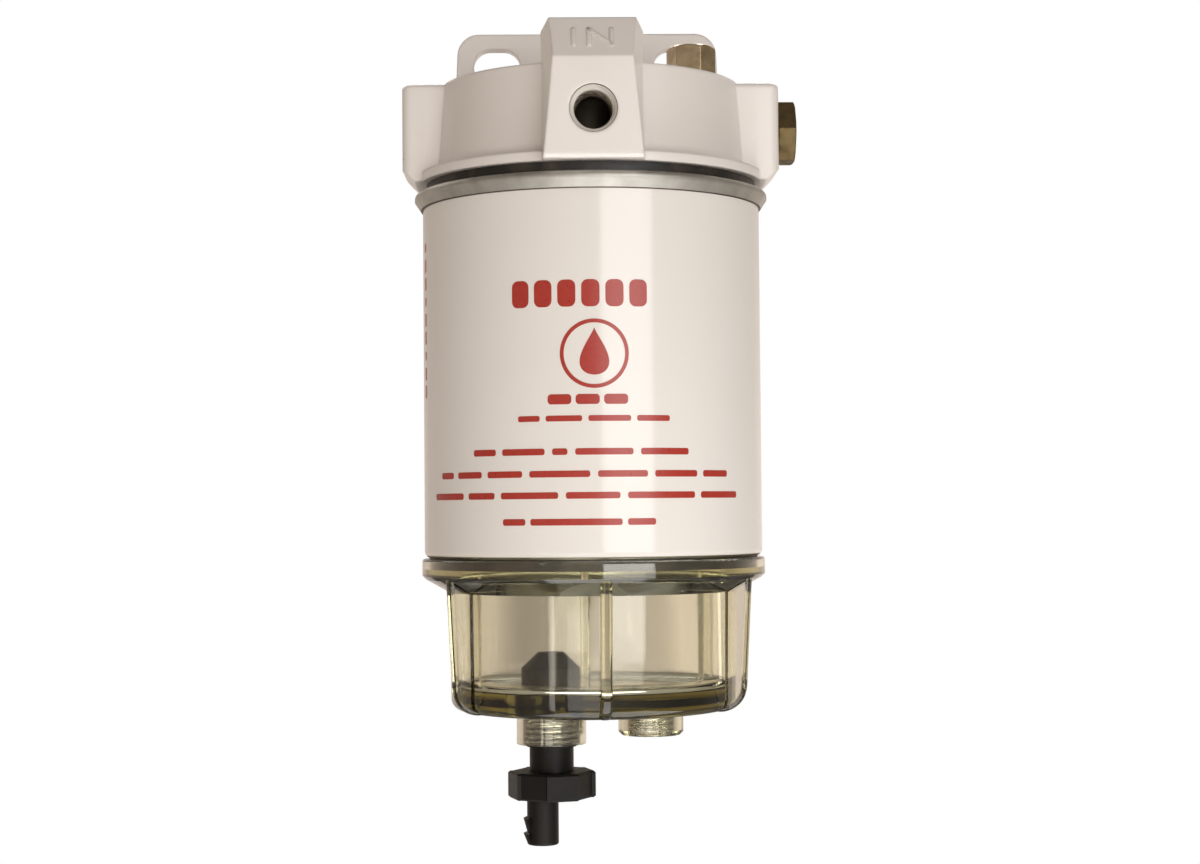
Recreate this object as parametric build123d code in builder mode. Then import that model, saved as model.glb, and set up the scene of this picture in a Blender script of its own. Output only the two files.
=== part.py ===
from build123d import *
from math import atan, cos, degrees, pi, radians, sin, tan
import os

# Spin-on diesel fuel filter and water separator, in millimetres, +Z up.
# Origin: middle of the bracket's slot pattern, on the bracket's back face.
# The front of the filter faces -Y and its axis is vertical, at y = -bracket_reach.

# Clearances
running_gap = 0.06  # radial, threads and pins that turn
seat_gap = 0.04  # radial, parts screwed or pressed home for good
loose_gap = 0.30  # between a soft seal and the walls beside it

# Can
can_radius = 46.5
can_wall = 0.8
can_height = 95.05  # below the seam
can_curl_round = 2.0
can_curl_width = 4.2

# Lid, rolled into the double seam
seam_overhang = 2.2  # beyond the can
seam_height = 4.9
seam_top_width = 2.1
seam_lip = 0.7  # slope on the seam's inner edge
seam_top_round = 1.3
seam_foot_rise = 3.1  # height of the seam's sloping underside
seam_foot_width = 0.4
lid_thickness = 0.8
channel_floor_rise = 1.0  # above the can's painted top edge

# Head gasket
gasket_gap = 0.5  # to the channel's outer wall
gasket_width = 7.0
gasket_show = 2.7  # seam top to the head's foot

# Head body
slot_rise = 16.7  # slots' centre line above the head's top face
head_height = 26.6
foot_overhang = 2.1  # beyond the gasket
foot_band = 2.6
foot_ledge = 4.3
foot_blend = 3.0
body_draft = 1.8  # body's foot radius less its top radius
body_top_round = 4.5
seal_margin = 1.9  # seal face inside the gasket's bore

# Bracket plate
bracket_length = 7.3  # body's foot to the face that meets the wall
plate_thickness = 5.0
plate_width = 77.0  # across the top edge
plate_draft = 2.5  # degrees, each side edge
plate_rise = 9.5  # top edge above the slots' centre line
plate_corner = 6.5
plate_foot_corner = 9.0
slot_spacing = 54.0
slot_length = 13.9
slot_width = 10.0
gusset_spacing = 66.0
gusset_thickness = 5.0

# Chambers inside the head
hub_wall = 6.3  # round the stud
hub_recess = 0.8  # hub's foot above the seal face
roof_thickness = 5.2
duct_width = 18.0
duct_clearance = 3.7  # under the ducts, for fuel to pass from front to back
outlet_chamber_radius = 9.0
inner_wall_lap = 1.5  # how far bosses and ducts run into the wall beside them

# Ports, tapped 1/4 in taper pipe thread, drawn as plain bores
inlet_port_drop = 13.9  # inlet axis below the head's top face
side_port_drop = 12.1
port_radius = 6.1
port_depth = 9.6
port_chamfer = 0.3
drill_radius = 4.6

# Inlet boss and the ridge behind it
inlet_boss_length = 7.8  # body's foot to the boss's front face
ridge_width = 26.8
inlet_taper_depth = 14.0  # how far back the cut front corners start
inlet_cut_foot = 0.5  # width of the cut at the boss's foot
inlet_cut_top = 4.1  # and at its top
inlet_foot_chamfer = 0.9
slope_drop = 0.6  # foot of the sloping upper face below the head's top
slope_lean = 33.0  # degrees back from upright
ridge_rise = 10.9  # ridge top above the head's top
ridge_edge_drop = 2.4
ridge_edge_width = 2.2
ridge_blend = 7.0

# Side port bosses
side_boss_length = 8.3  # body's foot to the port face
side_boss_width = 25.0
side_chamfer = 3.2
side_edge_round = 2.8
side_top_round = 1.4
parting_inset = 6.2  # side core's parting line, in from the port face
parting_taper = 0.45  # how much each face draws in from there to the port face

# Vent plug on the head's top
vent_x = 28.8
vent_y = 8.5  # behind the filter axis
vent_boss_radius = 8.0
vent_boss_rise = 3.0
vent_thread_radius = 4.9
vent_thread_length = 8.6
vent_hex_flats = 12.0
vent_hex_height = 9.8
vent_hex_turn = -10.0  # degrees
vent_seal_radius = 6.4
vent_seal_thickness = 1.1

# Plug in the right-hand port
plug_hex_flats = 16.1
plug_hex_height = 4.8
plug_thread_length = 8.4
plug_socket_radius = 3.0
plug_socket_roof = 1.5

# Centre stud
stud_radius = 12.7
stud_bore_radius = 8.5
stud_seat_depth = 7.6  # above the hub's foot
stud_length = 23.9
stud_chamfer = 0.8

# Tapping plate
tapping_plate_thickness = 4.5
tapping_hub_wall = 4.3
tapping_hub_drop = 4.7  # below the plate
tapping_hub_blend = 1.5
inlet_hole_count = 8
inlet_hole_radius = 3.6
inlet_hole_circle = 26.5

# Filter element
element_gap = 7.7  # between the element and the can
cap_thickness = 1.0
cap_rim_depth = 5.0
cap_hole_radius = 12.95
grommet_bore_radius = 10.0
grommet_flange_inset = 1.0  # inside the tapping plate's hub
grommet_flange_thickness = 3.0
grommet_lip_width = 1.45  # under the cap's edge
grommet_lip_thickness = 1.6
pleat_count = 36
pleat_shift = 3.0  # radial distance between the two faces of the paper
pleat_margin = 0.2  # inside the caps' rims
tube_radius = 20.8
tube_wall = 0.8
tube_margin = 1.2  # between the tube and the pleats
tube_hole_radius = 3.0
tube_hole_rows = 5
tube_hole_pitch = 11.0
tube_hole_columns = 6
support_height = 8.05  # element's foot above the support's feet
support_disc_radius = 14.0
support_leg_arc = 26.0  # degrees
support_leg_count = 4
support_thickness = 1.0
support_foot_gap = 1.2  # to the can
support_foot_width = 3.8

# Threaded ring and the bowl's neck
ring_wall = 5.6
thread_ring_height = 10.2
neck_height = 11.4
neck_lead = 0.6

# Bowl
flange_overhang = 0.7  # beyond the can
flange_thickness = 2.9
flange_edge = 1.0
flange_drop = 2.85  # gasket seat below the can's foot
collar_height = 2.65
collar_wall = 1.9
flange_round = 0.7
shoulder_drop = 3.6  # height of the cone under the flange
bowl_wall = 3.0
bowl_step = 0.2  # bowl's wall inside the neck's outline
bowl_draft = 0.4
bowl_depth = 41.45  # can's foot to the bowl's underside
bowl_floor = 6.0
bowl_corner_round = 3.0
bowl_inner_round = 3.0
bowl_gasket_margin = 0.5  # round the neck
bowl_turn = 3.0  # degrees the bowl stands round from straight ahead
rib_count = 6
rib_thickness = 3.1
rib_inset = 0.5  # rib's top inside the flange's edge
rib_draft = 2.1
rib_corner_round = 7.6
rib_edge_round = 1.1

# Drain and sensor bosses under the bowl, placed from the bowl's front rib
drain_offset = 13.75
drain_bearing = -63.8  # degrees, clockwise from above is negative
drain_boss_wall = 3.45  # round the stem
drain_thread_width = 1.8  # threaded bore beyond the stem
drain_thread_drop = 7.2  # threaded bore's roof below the bowl's floor
drain_boss_drop = 9.0
sensor_offset = 16.6
sensor_bearing = 106.6  # degrees
sensor_boss_radius = 9.05
sensor_boss_drop = 8.1
sensor_boss_chamfer = 0.9
sensor_bore_radius = 6.4
sensor_bore_depth = 7.0

# Drain valve
stem_radius = 6.0
collar_step = 0.8  # threaded collar beyond the stem
collar_relief = 4.0  # collar's top below the threaded bore's roof when shut
neck_show = 7.4  # between the boss and the knob
knob_radius = 12.0  # corner to centre
knob_height = 7.25
knob_sides = 8
knob_turn = -6.0  # degrees
knob_recess = 0.8  # depth of every other flat
knob_chamfer = 0.5
nozzle_radius = 4.3
nozzle_length = 12.65
nozzle_offset = 2.5  # towards -X
nozzle_bore_radius = 2.3
nozzle_round = 0.6
barb_height = 1.0
barb_slope = 0.45  # drop of each ledge towards its edge
barb_start = 5.05  # first barb's ledge below the knob
barb_pitch = 4.1
barb_arc = 80.0  # degrees
side_port_radius = 1.6
side_port_depth = 2.1  # below the bowl's floor when shut
spigot_radius = 4.95
spigot_height = 5.0
drain_cap_edge = 0.35  # outside the seat ring's groove
drain_cap_height = 10.0
drain_cap_cylinder = 5.7  # height of its straight part
drain_cap_top_radius = 3.55
seat_ring_margin = 0.65  # round the stem
seat_ring_width = 1.0
seat_ring_height = 1.2
stem_ring_depth = 1.4  # groove depth
stem_ring_height = 1.6
stem_ring_drop = 4.8  # groove's top below the bowl's floor
stem_ring_round = 0.5

# Radii and reaches that follow from the can
can_bore_radius = can_radius - can_wall
seam_radius = can_radius + seam_overhang
seam_inner_radius = seam_radius - seam_top_width
channel_radius = seam_inner_radius - seam_lip
gasket_radius = channel_radius - gasket_gap
foot_radius = gasket_radius + foot_overhang
body_foot_radius = foot_radius - foot_ledge
body_top_radius = body_foot_radius - body_draft
seal_face_inner_radius = gasket_radius - gasket_width - seal_margin
bracket_reach = body_foot_radius + bracket_length
inlet_reach = body_foot_radius + inlet_boss_length
side_reach = body_foot_radius + side_boss_length
channel_inner_radius = gasket_radius - gasket_width - loose_gap
lid_inner_radius = channel_inner_radius - lid_thickness
cap_radius = can_bore_radius - element_gap
media_radius = cap_radius - cap_thickness - pleat_margin
media_inner_radius = tube_radius + tube_margin
support_foot_radius = can_bore_radius - support_foot_gap
neck_radius = can_bore_radius - seat_gap - ring_wall - running_gap
flange_radius = can_radius + flange_overhang
bowl_radius = neck_radius - bowl_step
bowl_foot_radius = bowl_radius - bowl_draft
bowl_inner_radius = bowl_radius - bowl_wall
bowl_gasket_radius = flange_radius - collar_wall - loose_gap
rib_top_radius = flange_radius - rib_inset
rib_foot_radius = rib_top_radius - rib_draft

# Radii that follow from the stud and the drain stem
hub_radius = stud_radius + hub_wall
tapping_hub_radius = stud_radius + tapping_hub_wall
grommet_flange_radius = tapping_hub_radius - grommet_flange_inset
grommet_lip_radius = cap_hole_radius + grommet_lip_width
drain_boss_radius = stem_radius + drain_boss_wall
drain_thread_radius = stem_radius + drain_thread_width
collar_radius = stem_radius + collar_step
seat_ring_inner_radius = stem_radius + seat_ring_margin
seat_ring_outer_radius = seat_ring_inner_radius + seat_ring_width
drain_cap_radius = seat_ring_outer_radius + drain_cap_edge

# Levels, from the head down to the drain
axis_y = -bracket_reach
plate_front = -plate_thickness
head_top = -slot_rise
head_foot = head_top - head_height
inlet_level = head_top - inlet_port_drop
side_level = head_top - side_port_drop
ridge_top = head_top + ridge_rise
chamber_roof = head_top - roof_thickness
hub_foot = head_foot + hub_recess
stud_seat = hub_foot + stud_seat_depth
stud_foot = stud_seat - stud_length
seam_top = head_foot - gasket_show
can_top = seam_top - seam_height
can_foot = can_top - can_height
channel_floor = can_top + channel_floor_rise
plate_top = channel_floor - lid_thickness
tapping_hub_foot = plate_top - tapping_plate_thickness - tapping_hub_drop
upper_cap_top = tapping_hub_foot - grommet_flange_thickness
media_top = upper_cap_top - cap_thickness
ring_foot = can_foot + can_wall
ring_top = ring_foot + thread_ring_height
lower_cap_foot = ring_top + support_thickness + support_height
media_foot = lower_cap_foot + cap_thickness
media_length = media_top - media_foot
gasket_seat = can_foot - flange_drop
flange_foot = gasket_seat - flange_thickness
shoulder_foot = flange_foot - shoulder_drop
bowl_foot = can_foot - bowl_depth
floor_level = bowl_foot + bowl_floor
drain_boss_foot = bowl_foot - drain_boss_drop
sensor_boss_foot = bowl_foot - sensor_boss_drop
drain_thread_top = floor_level - drain_thread_drop
collar_top = drain_thread_top - collar_relief
knob_top = drain_boss_foot - neck_show
knob_foot = knob_top - knob_height
nozzle_foot = knob_foot - nozzle_length
side_port_level = floor_level - side_port_depth
vent_boss_top = head_top + vent_boss_rise
vent_hex_foot = vent_boss_top + vent_seal_thickness

# Places across the filter
front_bearing = 270 + bowl_turn
drain_x = drain_offset * cos(radians(front_bearing + drain_bearing))
drain_y = axis_y + drain_offset * sin(radians(front_bearing + drain_bearing))
sensor_x = sensor_offset * cos(radians(front_bearing + sensor_bearing))
sensor_y = axis_y + sensor_offset * sin(radians(front_bearing + sensor_bearing))
nozzle_x = drain_x - nozzle_offset
vent_centre_y = axis_y + vent_y


def level(z, x=0, y=axis_y):
    """Horizontal plane at height z, centred on the filter's axis unless x and y say otherwise."""
    return Plane(origin=(x, y, z))


def upright(bearing=0, x=0, y=axis_y):
    """Vertical plane through an axis: local x runs outwards at the bearing, local y is height."""
    along = (cos(radians(bearing)), sin(radians(bearing)), 0)
    normal = (sin(radians(bearing)), -cos(radians(bearing)), 0)
    return Plane(origin=(x, y, 0), x_dir=along, z_dir=normal)


def port_outline(depth):
    """Half section of a port: local x is depth from the mouth, local y is radius."""
    with BuildSketch() as outline:
        with BuildLine():
            Polyline(
                (-1, 0),
                (-1, port_radius + port_chamfer),
                (0, port_radius + port_chamfer),
                (port_chamfer, port_radius),
                (port_depth, port_radius),
                (port_depth + (port_radius - drill_radius) / 2, drill_radius),
                (depth, drill_radius),
                (depth, 0),
                close=True,
            )
        make_face()
    return outline.sketch


def star(count, tip_radius, valley_radius):
    """Points of a closed zigzag between two radii."""
    return [
        (radius * cos(turn), radius * sin(turn))
        for step in range(2 * count)
        for radius, turn in [((tip_radius, valley_radius)[step % 2], pi * step / count)]
    ]


filter_axis = Axis((0, axis_y, 0), (0, 0, 1))
stem_axis = Axis((drain_x, drain_y, 0), (0, 0, 1))
nozzle_axis = Axis((nozzle_x, drain_y, 0), (0, 0, 1))

# Port planes: local x runs into the head
inlet_port = Plane(origin=(0, axis_y - inlet_reach, inlet_level), x_dir=(0, 1, 0), z_dir=(1, 0, 0))
left_port = Plane(origin=(-side_reach, axis_y, side_level), x_dir=(1, 0, 0), z_dir=(0, -1, 0))
right_port = Plane(origin=(side_reach, axis_y, side_level), x_dir=(-1, 0, 0), z_dir=(0, 1, 0))

# Head casting: body, three port bosses, ridge and bracket plate in one piece
slope_foot = head_top - slope_drop
slope_run = (ridge_top - slope_foot) * tan(radians(slope_lean))
inlet_face = axis_y - inlet_reach

with BuildPart() as head_casting:
    # Right port boss, its outer edges rounded and its foot cut back to the can
    boss_root = seal_face_inner_radius - inner_wall_lap
    with BuildSketch(upright()):
        with BuildLine():
            Polyline(
                (boss_root, head_foot),
                (side_reach - side_chamfer, head_foot),
                (side_reach, head_foot + side_chamfer),
                (side_reach, head_top),
                (boss_root, head_top),
                close=True,
            )
        make_face()
    extrude(amount=side_boss_width / 2, both=True)
    with BuildSketch(level(head_foot)):
        for side in (1, -1):
            with BuildLine():
                Polyline(
                    (side_reach - parting_inset, side * side_boss_width / 2),
                    (side_reach + 1, side * side_boss_width / 2),
                    (side_reach + 1, side * (side_boss_width / 2 - parting_taper)),
                    (side_reach, side * (side_boss_width / 2 - parting_taper)),
                    close=True,
                )
            make_face()
    extrude(amount=head_height, mode=Mode.SUBTRACT)
    fillet(head_casting.edges().filter_by(Axis.Z).group_by(Axis.X)[-1], radius=side_edge_round)
    top_edges = head_casting.edges().group_by(Axis.Z)[-1].sort_by(Axis.X)[1:]
    fillet(top_edges, radius=side_top_round)
    mirror(about=Plane.YZ)

    # Inlet boss, its front corners cut back more towards the top
    for height, cut in ((head_foot, inlet_cut_foot), (ridge_top, inlet_cut_top)):
        half = ridge_width / 2
        with BuildSketch(level(height)):
            with BuildLine():
                Polyline(
                    (half, 0),
                    (half, inlet_taper_depth - inlet_reach),
                    (half - cut, -inlet_reach),
                    (cut - half, -inlet_reach),
                    (-half, inlet_taper_depth - inlet_reach),
                    (-half, 0),
                    close=True,
                )
            make_face()
    loft(ruled=True)
    with BuildSketch(Plane.YZ):
        with BuildLine():
            Polyline(
                (inlet_face, slope_foot),
                (inlet_face + slope_run, ridge_top),
                (inlet_face + slope_run, ridge_top + 1),
                (inlet_face - 1, ridge_top + 1),
                (inlet_face - 1, slope_foot),
                close=True,
            )
        make_face()
        with BuildLine():
            Polyline(
                (inlet_face, head_foot + inlet_foot_chamfer),
                (inlet_face + inlet_foot_chamfer, head_foot),
                (inlet_face - 1, head_foot),
                (inlet_face - 1, head_foot + inlet_foot_chamfer),
                close=True,
            )
        make_face()
    extrude(amount=ridge_width, both=True, mode=Mode.SUBTRACT)

    # Ridge from the inlet boss back to the plate, blended into the plate
    ridge_base = head_top - body_top_round - 1
    plate_near = bracket_reach - plate_thickness
    with BuildSketch(level(ridge_base)):
        with Locations((0, plate_near / 2)):
            Rectangle(ridge_width, plate_near)
        with Locations((0, plate_near + plate_thickness / 2)):
            Rectangle(plate_width - 4 * plate_corner, plate_thickness)
    extrude(amount=ridge_top - ridge_base)
    blend_edges = [
        edge
        for edge in head_casting.edges().filter_by(Axis.Z)
        if abs(edge.center().Y - plate_front) < 0.01 and abs(abs(edge.center().X) - ridge_width / 2) < 0.01
    ]
    fillet(blend_edges, radius=ridge_blend)
    with BuildSketch(Plane.XZ.offset(plate_thickness)):
        for side in (1, -1):
            half = side * ridge_width / 2
            with BuildLine():
                Polyline(
                    (half, ridge_top),
                    (half - side * ridge_edge_width, ridge_top),
                    (half, ridge_top - ridge_edge_drop),
                    close=True,
                )
            make_face()
    extrude(amount=plate_near + inlet_reach, mode=Mode.SUBTRACT)

    # Bracket plate with its two slots, and a gusset at each side
    plate_spread = (plate_rise - head_foot) * tan(radians(plate_draft))
    with BuildSketch(Plane.XZ) as plate_face:
        half = plate_width / 2
        with BuildLine():
            Polyline(
                (-half - plate_spread, head_foot),
                (half + plate_spread, head_foot),
                (half, plate_rise),
                (-half, plate_rise),
                close=True,
            )
        make_face()
        fillet(plate_face.vertices().group_by(Axis.Y)[-1], radius=plate_corner)
        fillet(plate_face.vertices().group_by(Axis.Y)[0], radius=plate_foot_corner)
        with Locations((-slot_spacing / 2, 0), (slot_spacing / 2, 0)):
            SlotOverall(slot_length, slot_width, mode=Mode.SUBTRACT)
    extrude(amount=plate_thickness)
    gusset_start = body_top_radius / 2
    with BuildSketch(level(head_foot)):
        with Locations(*[(side * gusset_spacing / 2, (gusset_start + plate_near) / 2) for side in (1, -1)]):
            Rectangle(gusset_thickness, plate_near - gusset_start)
    extrude(amount=head_height - body_top_round)

    # Body: slightly conical, with a rounded top edge and a banded foot
    with BuildSketch(upright()) as body_section:
        with BuildLine():
            Polyline(
                (0, head_foot),
                (foot_radius, head_foot),
                (foot_radius, head_foot + foot_band),
                (body_foot_radius, head_foot + foot_band),
                (body_top_radius, head_top),
                (0, head_top),
                close=True,
            )
        make_face()
        corners = body_section.vertices().sort_by(Axis.X)
        fillet([v for v in corners if abs(v.X - body_foot_radius) < 0.01], radius=foot_blend)
        fillet([v for v in corners if abs(v.X - body_top_radius) < 0.01], radius=body_top_round)
    revolve(axis=filter_axis)

    # Boss for the vent plug
    with BuildSketch(level(chamber_roof, vent_x, vent_centre_y)):
        Circle(vent_boss_radius)
    extrude(amount=vent_boss_top - chamber_roof)

    # Inlet chamber round the hub, then the ducts that cross it to the side ports
    with BuildSketch(upright()):
        with BuildLine():
            Polyline(
                (hub_radius, chamber_roof),
                (hub_radius, hub_foot),
                (0, hub_foot),
                (0, head_foot - 1),
                (seal_face_inner_radius, head_foot - 1),
                (seal_face_inner_radius, chamber_roof),
                close=True,
            )
        make_face()
    revolve(axis=filter_axis, mode=Mode.SUBTRACT)
    duct_foot = head_foot + duct_clearance
    duct_inner = hub_radius - inner_wall_lap
    duct_outer = seal_face_inner_radius + inner_wall_lap
    with BuildSketch(upright()):
        duct_middle = (duct_inner + duct_outer) / 2
        duct_level = (duct_foot + chamber_roof) / 2
        with Locations((duct_middle, duct_level), (-duct_middle, duct_level)):
            Rectangle(duct_outer - duct_inner, chamber_roof - duct_foot)
    extrude(amount=duct_width / 2, both=True)

    # Stud bore with the outlet chamber above it
    with BuildSketch(upright()):
        with BuildLine():
            Polyline(
                (0, hub_foot - 1),
                (stud_radius + seat_gap, hub_foot - 1),
                (stud_radius + seat_gap, stud_seat),
                (outlet_chamber_radius, stud_seat),
                (outlet_chamber_radius, side_level + drill_radius + 1),
                (0, side_level + drill_radius + 1),
                close=True,
            )
        make_face()
    revolve(axis=filter_axis, mode=Mode.SUBTRACT)

    # Ports: the inlet reaches the outer chamber, the side ports the outlet chamber
    port_cuts = (
        (inlet_port, inlet_reach - seal_face_inner_radius + 1),
        (left_port, side_reach - outlet_chamber_radius + 1),
        (right_port, side_reach - outlet_chamber_radius + 1),
    )
    for port, depth in port_cuts:
        port_axis = Axis(port.origin, port.x_dir)
        revolve(port * port_outline(depth), axis=port_axis, mode=Mode.SUBTRACT)
    with BuildSketch(level(chamber_roof - 1, vent_x, vent_centre_y)):
        Circle(vent_thread_radius + running_gap)
    extrude(amount=vent_boss_top - chamber_roof + 2, mode=Mode.SUBTRACT)

# Stud that the can screws on to
with BuildPart() as centre_stud:
    with BuildSketch(upright()) as stud_section:
        with BuildLine():
            Polyline(
                (stud_bore_radius, stud_foot),
                (stud_radius, stud_foot),
                (stud_radius, stud_seat),
                (stud_bore_radius, stud_seat),
                close=True,
            )
        make_face()
        chamfer(stud_section.vertices().group_by(Axis.X)[-1], length=stud_chamfer)
    revolve(axis=filter_axis)

# Brass plug screwed into the right-hand port
plug_hex_radius = plug_hex_flats / 2 / cos(pi / 6)
plug_face = Plane(origin=(side_reach, axis_y, side_level), x_dir=(0, 1, 0), z_dir=(1, 0, 0))
with BuildPart() as port_plug:
    with BuildSketch(plug_face.offset(loose_gap)):
        Circle(plug_hex_radius)
    extrude(amount=plug_hex_height)
    chamfer(port_plug.edges().sort_by(Axis.X)[-1], length=0.45, length2=0.9)
    with BuildSketch(plug_face):
        RegularPolygon(plug_hex_radius, 6)
    extrude(amount=loose_gap + plug_hex_height, mode=Mode.INTERSECT)
    with BuildSketch(plug_face.offset(loose_gap)):
        Circle(port_radius - seat_gap)
    extrude(amount=-plug_thread_length)
    chamfer(port_plug.edges().sort_by(Axis.X)[0], length=stud_chamfer)
    with BuildSketch(plug_face.offset(loose_gap - plug_thread_length)):
        Circle(plug_socket_radius)
    extrude(amount=plug_thread_length - plug_socket_roof, mode=Mode.SUBTRACT)

# Brass vent plug and its washer
vent_hex_radius = vent_hex_flats / 2 / cos(pi / 6)
with BuildPart() as vent_plug:
    with BuildSketch(level(vent_hex_foot, vent_x, vent_centre_y)):
        Circle(vent_hex_radius)
    extrude(amount=vent_hex_height)
    chamfer(vent_plug.edges().sort_by(Axis.Z)[-1], length=0.5, length2=0.9)
    with BuildSketch(level(vent_hex_foot, vent_x, vent_centre_y)):
        RegularPolygon(vent_hex_radius, 6, rotation=vent_hex_turn)
    extrude(amount=vent_hex_height, mode=Mode.INTERSECT)
    with BuildSketch(level(vent_hex_foot, vent_x, vent_centre_y)):
        Circle(vent_thread_radius)
    extrude(amount=-vent_thread_length)
    chamfer(vent_plug.edges().sort_by(Axis.Z)[0], length=stud_chamfer)

with BuildPart() as vent_washer:
    with BuildSketch(level(vent_boss_top, vent_x, vent_centre_y)):
        Circle(vent_seal_radius)
        Circle(vent_thread_radius + running_gap, mode=Mode.SUBTRACT)
    extrude(amount=vent_seal_thickness)

# Gasket between the head's foot and the channel in the lid
with BuildPart() as head_gasket:
    with BuildSketch(level(channel_floor)):
        Circle(gasket_radius)
        Circle(gasket_radius - gasket_width, mode=Mode.SUBTRACT)
    extrude(amount=head_foot - channel_floor)

# Can: drawn steel tube with its foot curled in under the threaded ring
with BuildPart() as can_shell:
    with BuildSketch(upright()) as shell_section:
        with BuildLine():
            Polyline(
                (can_radius - can_curl_width, can_foot),
                (can_radius, can_foot),
                (can_radius, can_top + seam_foot_width),
                (can_bore_radius, can_top + seam_foot_width),
                (can_bore_radius, ring_foot),
                (can_radius - can_curl_width, ring_foot),
                close=True,
            )
        make_face()
        foot_corner = shell_section.vertices().sort_by_distance((can_radius, can_foot))[0]
        fillet(foot_corner, radius=can_curl_round)
        inner_corner = shell_section.vertices().sort_by_distance((can_bore_radius, ring_foot))[0]
        fillet(inner_corner, radius=can_curl_round - can_wall)
    revolve(axis=filter_axis)

# Lid: gasket channel, and the rim rolled with the can into the double seam
with BuildPart() as can_lid:
    with BuildSketch(upright()) as lid_section:
        with BuildLine():
            Polyline(
                (lid_inner_radius, plate_top),
                (can_bore_radius - seat_gap, plate_top),
                (can_bore_radius - seat_gap, can_top + seam_foot_width),
                (can_radius + seam_foot_width, can_top + seam_foot_width),
                (seam_radius, can_top + seam_foot_rise),
                (seam_radius, seam_top),
                (seam_inner_radius, seam_top),
                (channel_radius, seam_top - seam_lip),
                (channel_radius, channel_floor),
                (channel_inner_radius, channel_floor),
                (channel_inner_radius, seam_top - seam_lip),
                (lid_inner_radius, seam_top - seam_lip),
                close=True,
            )
        make_face()
        seam_corner = lid_section.vertices().sort_by_distance((seam_radius, seam_top))[0]
        fillet(seam_corner, radius=seam_top_round)
    revolve(axis=filter_axis)

# Tapping plate: threaded hub in the middle, inlet holes round it
with BuildPart() as tapping_plate:
    with BuildSketch(upright()) as plate_section:
        with BuildLine():
            Polyline(
                (stud_radius + running_gap, plate_top),
                (stud_radius + running_gap, tapping_hub_foot),
                (tapping_hub_radius, tapping_hub_foot),
                (tapping_hub_radius, plate_top - tapping_plate_thickness),
                (can_bore_radius - seat_gap, plate_top - tapping_plate_thickness),
                (can_bore_radius - seat_gap, plate_top),
                close=True,
            )
        make_face()
        hub_corner = (tapping_hub_radius, plate_top - tapping_plate_thickness)
        fillet(plate_section.vertices().sort_by_distance(hub_corner)[0], radius=tapping_hub_blend)
    revolve(axis=filter_axis)
    with BuildSketch(level(plate_top)):
        with PolarLocations(inlet_hole_circle, inlet_hole_count):
            Circle(inlet_hole_radius)
    extrude(amount=-tapping_plate_thickness, mode=Mode.SUBTRACT)

# Grommet that seals the element to the tapping plate's hub
with BuildPart() as element_grommet:
    with BuildSketch(upright()):
        with BuildLine():
            Polyline(
                (grommet_bore_radius, tapping_hub_foot),
                (grommet_flange_radius, tapping_hub_foot),
                (grommet_flange_radius, upper_cap_top),
                (cap_hole_radius, upper_cap_top),
                (cap_hole_radius, media_top),
                (grommet_lip_radius, media_top),
                (grommet_bore_radius + 1, media_top - grommet_lip_thickness),
                (grommet_bore_radius, media_top - grommet_lip_thickness),
                close=True,
            )
        make_face()
    revolve(axis=filter_axis)

# End caps: shallow steel cups, the upper one pierced for the grommet
with BuildPart() as upper_end_cap:
    with BuildSketch(upright()):
        with BuildLine():
            Polyline(
                (cap_hole_radius + seat_gap, upper_cap_top),
                (cap_radius, upper_cap_top),
                (cap_radius, upper_cap_top - cap_rim_depth),
                (cap_radius - cap_thickness, upper_cap_top - cap_rim_depth),
                (cap_radius - cap_thickness, media_top),
                (cap_hole_radius + seat_gap, media_top),
                close=True,
            )
        make_face()
    revolve(axis=filter_axis)

with BuildPart() as lower_end_cap:
    with BuildSketch(upright()):
        with BuildLine():
            Polyline(
                (0, lower_cap_foot),
                (cap_radius, lower_cap_foot),
                (cap_radius, lower_cap_foot + cap_rim_depth),
                (cap_radius - cap_thickness, lower_cap_foot + cap_rim_depth),
                (cap_radius - cap_thickness, media_foot),
                (0, media_foot),
                close=True,
            )
        make_face()
    revolve(axis=filter_axis)

# Pleated paper: one ribbon folded round the tube
with BuildPart() as pleated_media:
    with BuildSketch(level(media_foot)):
        Polygon(*star(pleat_count, media_radius, media_inner_radius + pleat_shift), align=None)
        inner = star(pleat_count, media_radius - pleat_shift, media_inner_radius)
        Polygon(*inner, align=None, mode=Mode.SUBTRACT)
    extrude(amount=media_length)

# Perforated centre tube
with BuildPart() as centre_tube:
    with BuildSketch(level(media_foot)):
        Circle(tube_radius)
        Circle(tube_radius - tube_wall, mode=Mode.SUBTRACT)
    extrude(amount=media_length)
    for column in range(tube_hole_columns // 2):
        bearing = 360 / tube_hole_columns * column
        with BuildSketch(upright(bearing)):
            with Locations((0, media_foot + media_length / 2)):
                with GridLocations(1, tube_hole_pitch, 1, tube_hole_rows):
                    Circle(tube_hole_radius)
        extrude(amount=tube_radius + 1, both=True, mode=Mode.SUBTRACT)

# Pressed spider that carries the element on the threaded ring
with BuildPart() as element_support:
    with BuildSketch(level(lower_cap_foot)):
        Circle(support_disc_radius)
    extrude(amount=-support_thickness)
    for leg in range(support_leg_count):
        start = 360 / support_leg_count * leg + 45 - support_leg_arc / 2
        with BuildSketch(upright(start)):
            with BuildLine():
                Polyline(
                    (support_disc_radius - 4, lower_cap_foot),
                    (support_disc_radius, lower_cap_foot),
                    (support_foot_radius - support_foot_width, ring_top + support_thickness),
                    (support_foot_radius, ring_top + support_thickness),
                    (support_foot_radius, ring_top),
                    (support_foot_radius - support_foot_width - 0.3, ring_top),
                    (support_disc_radius - 0.3, lower_cap_foot - support_thickness),
                    (support_disc_radius - 4, lower_cap_foot - support_thickness),
                    close=True,
                )
            make_face()
        revolve(axis=filter_axis, revolution_arc=support_leg_arc)

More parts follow.
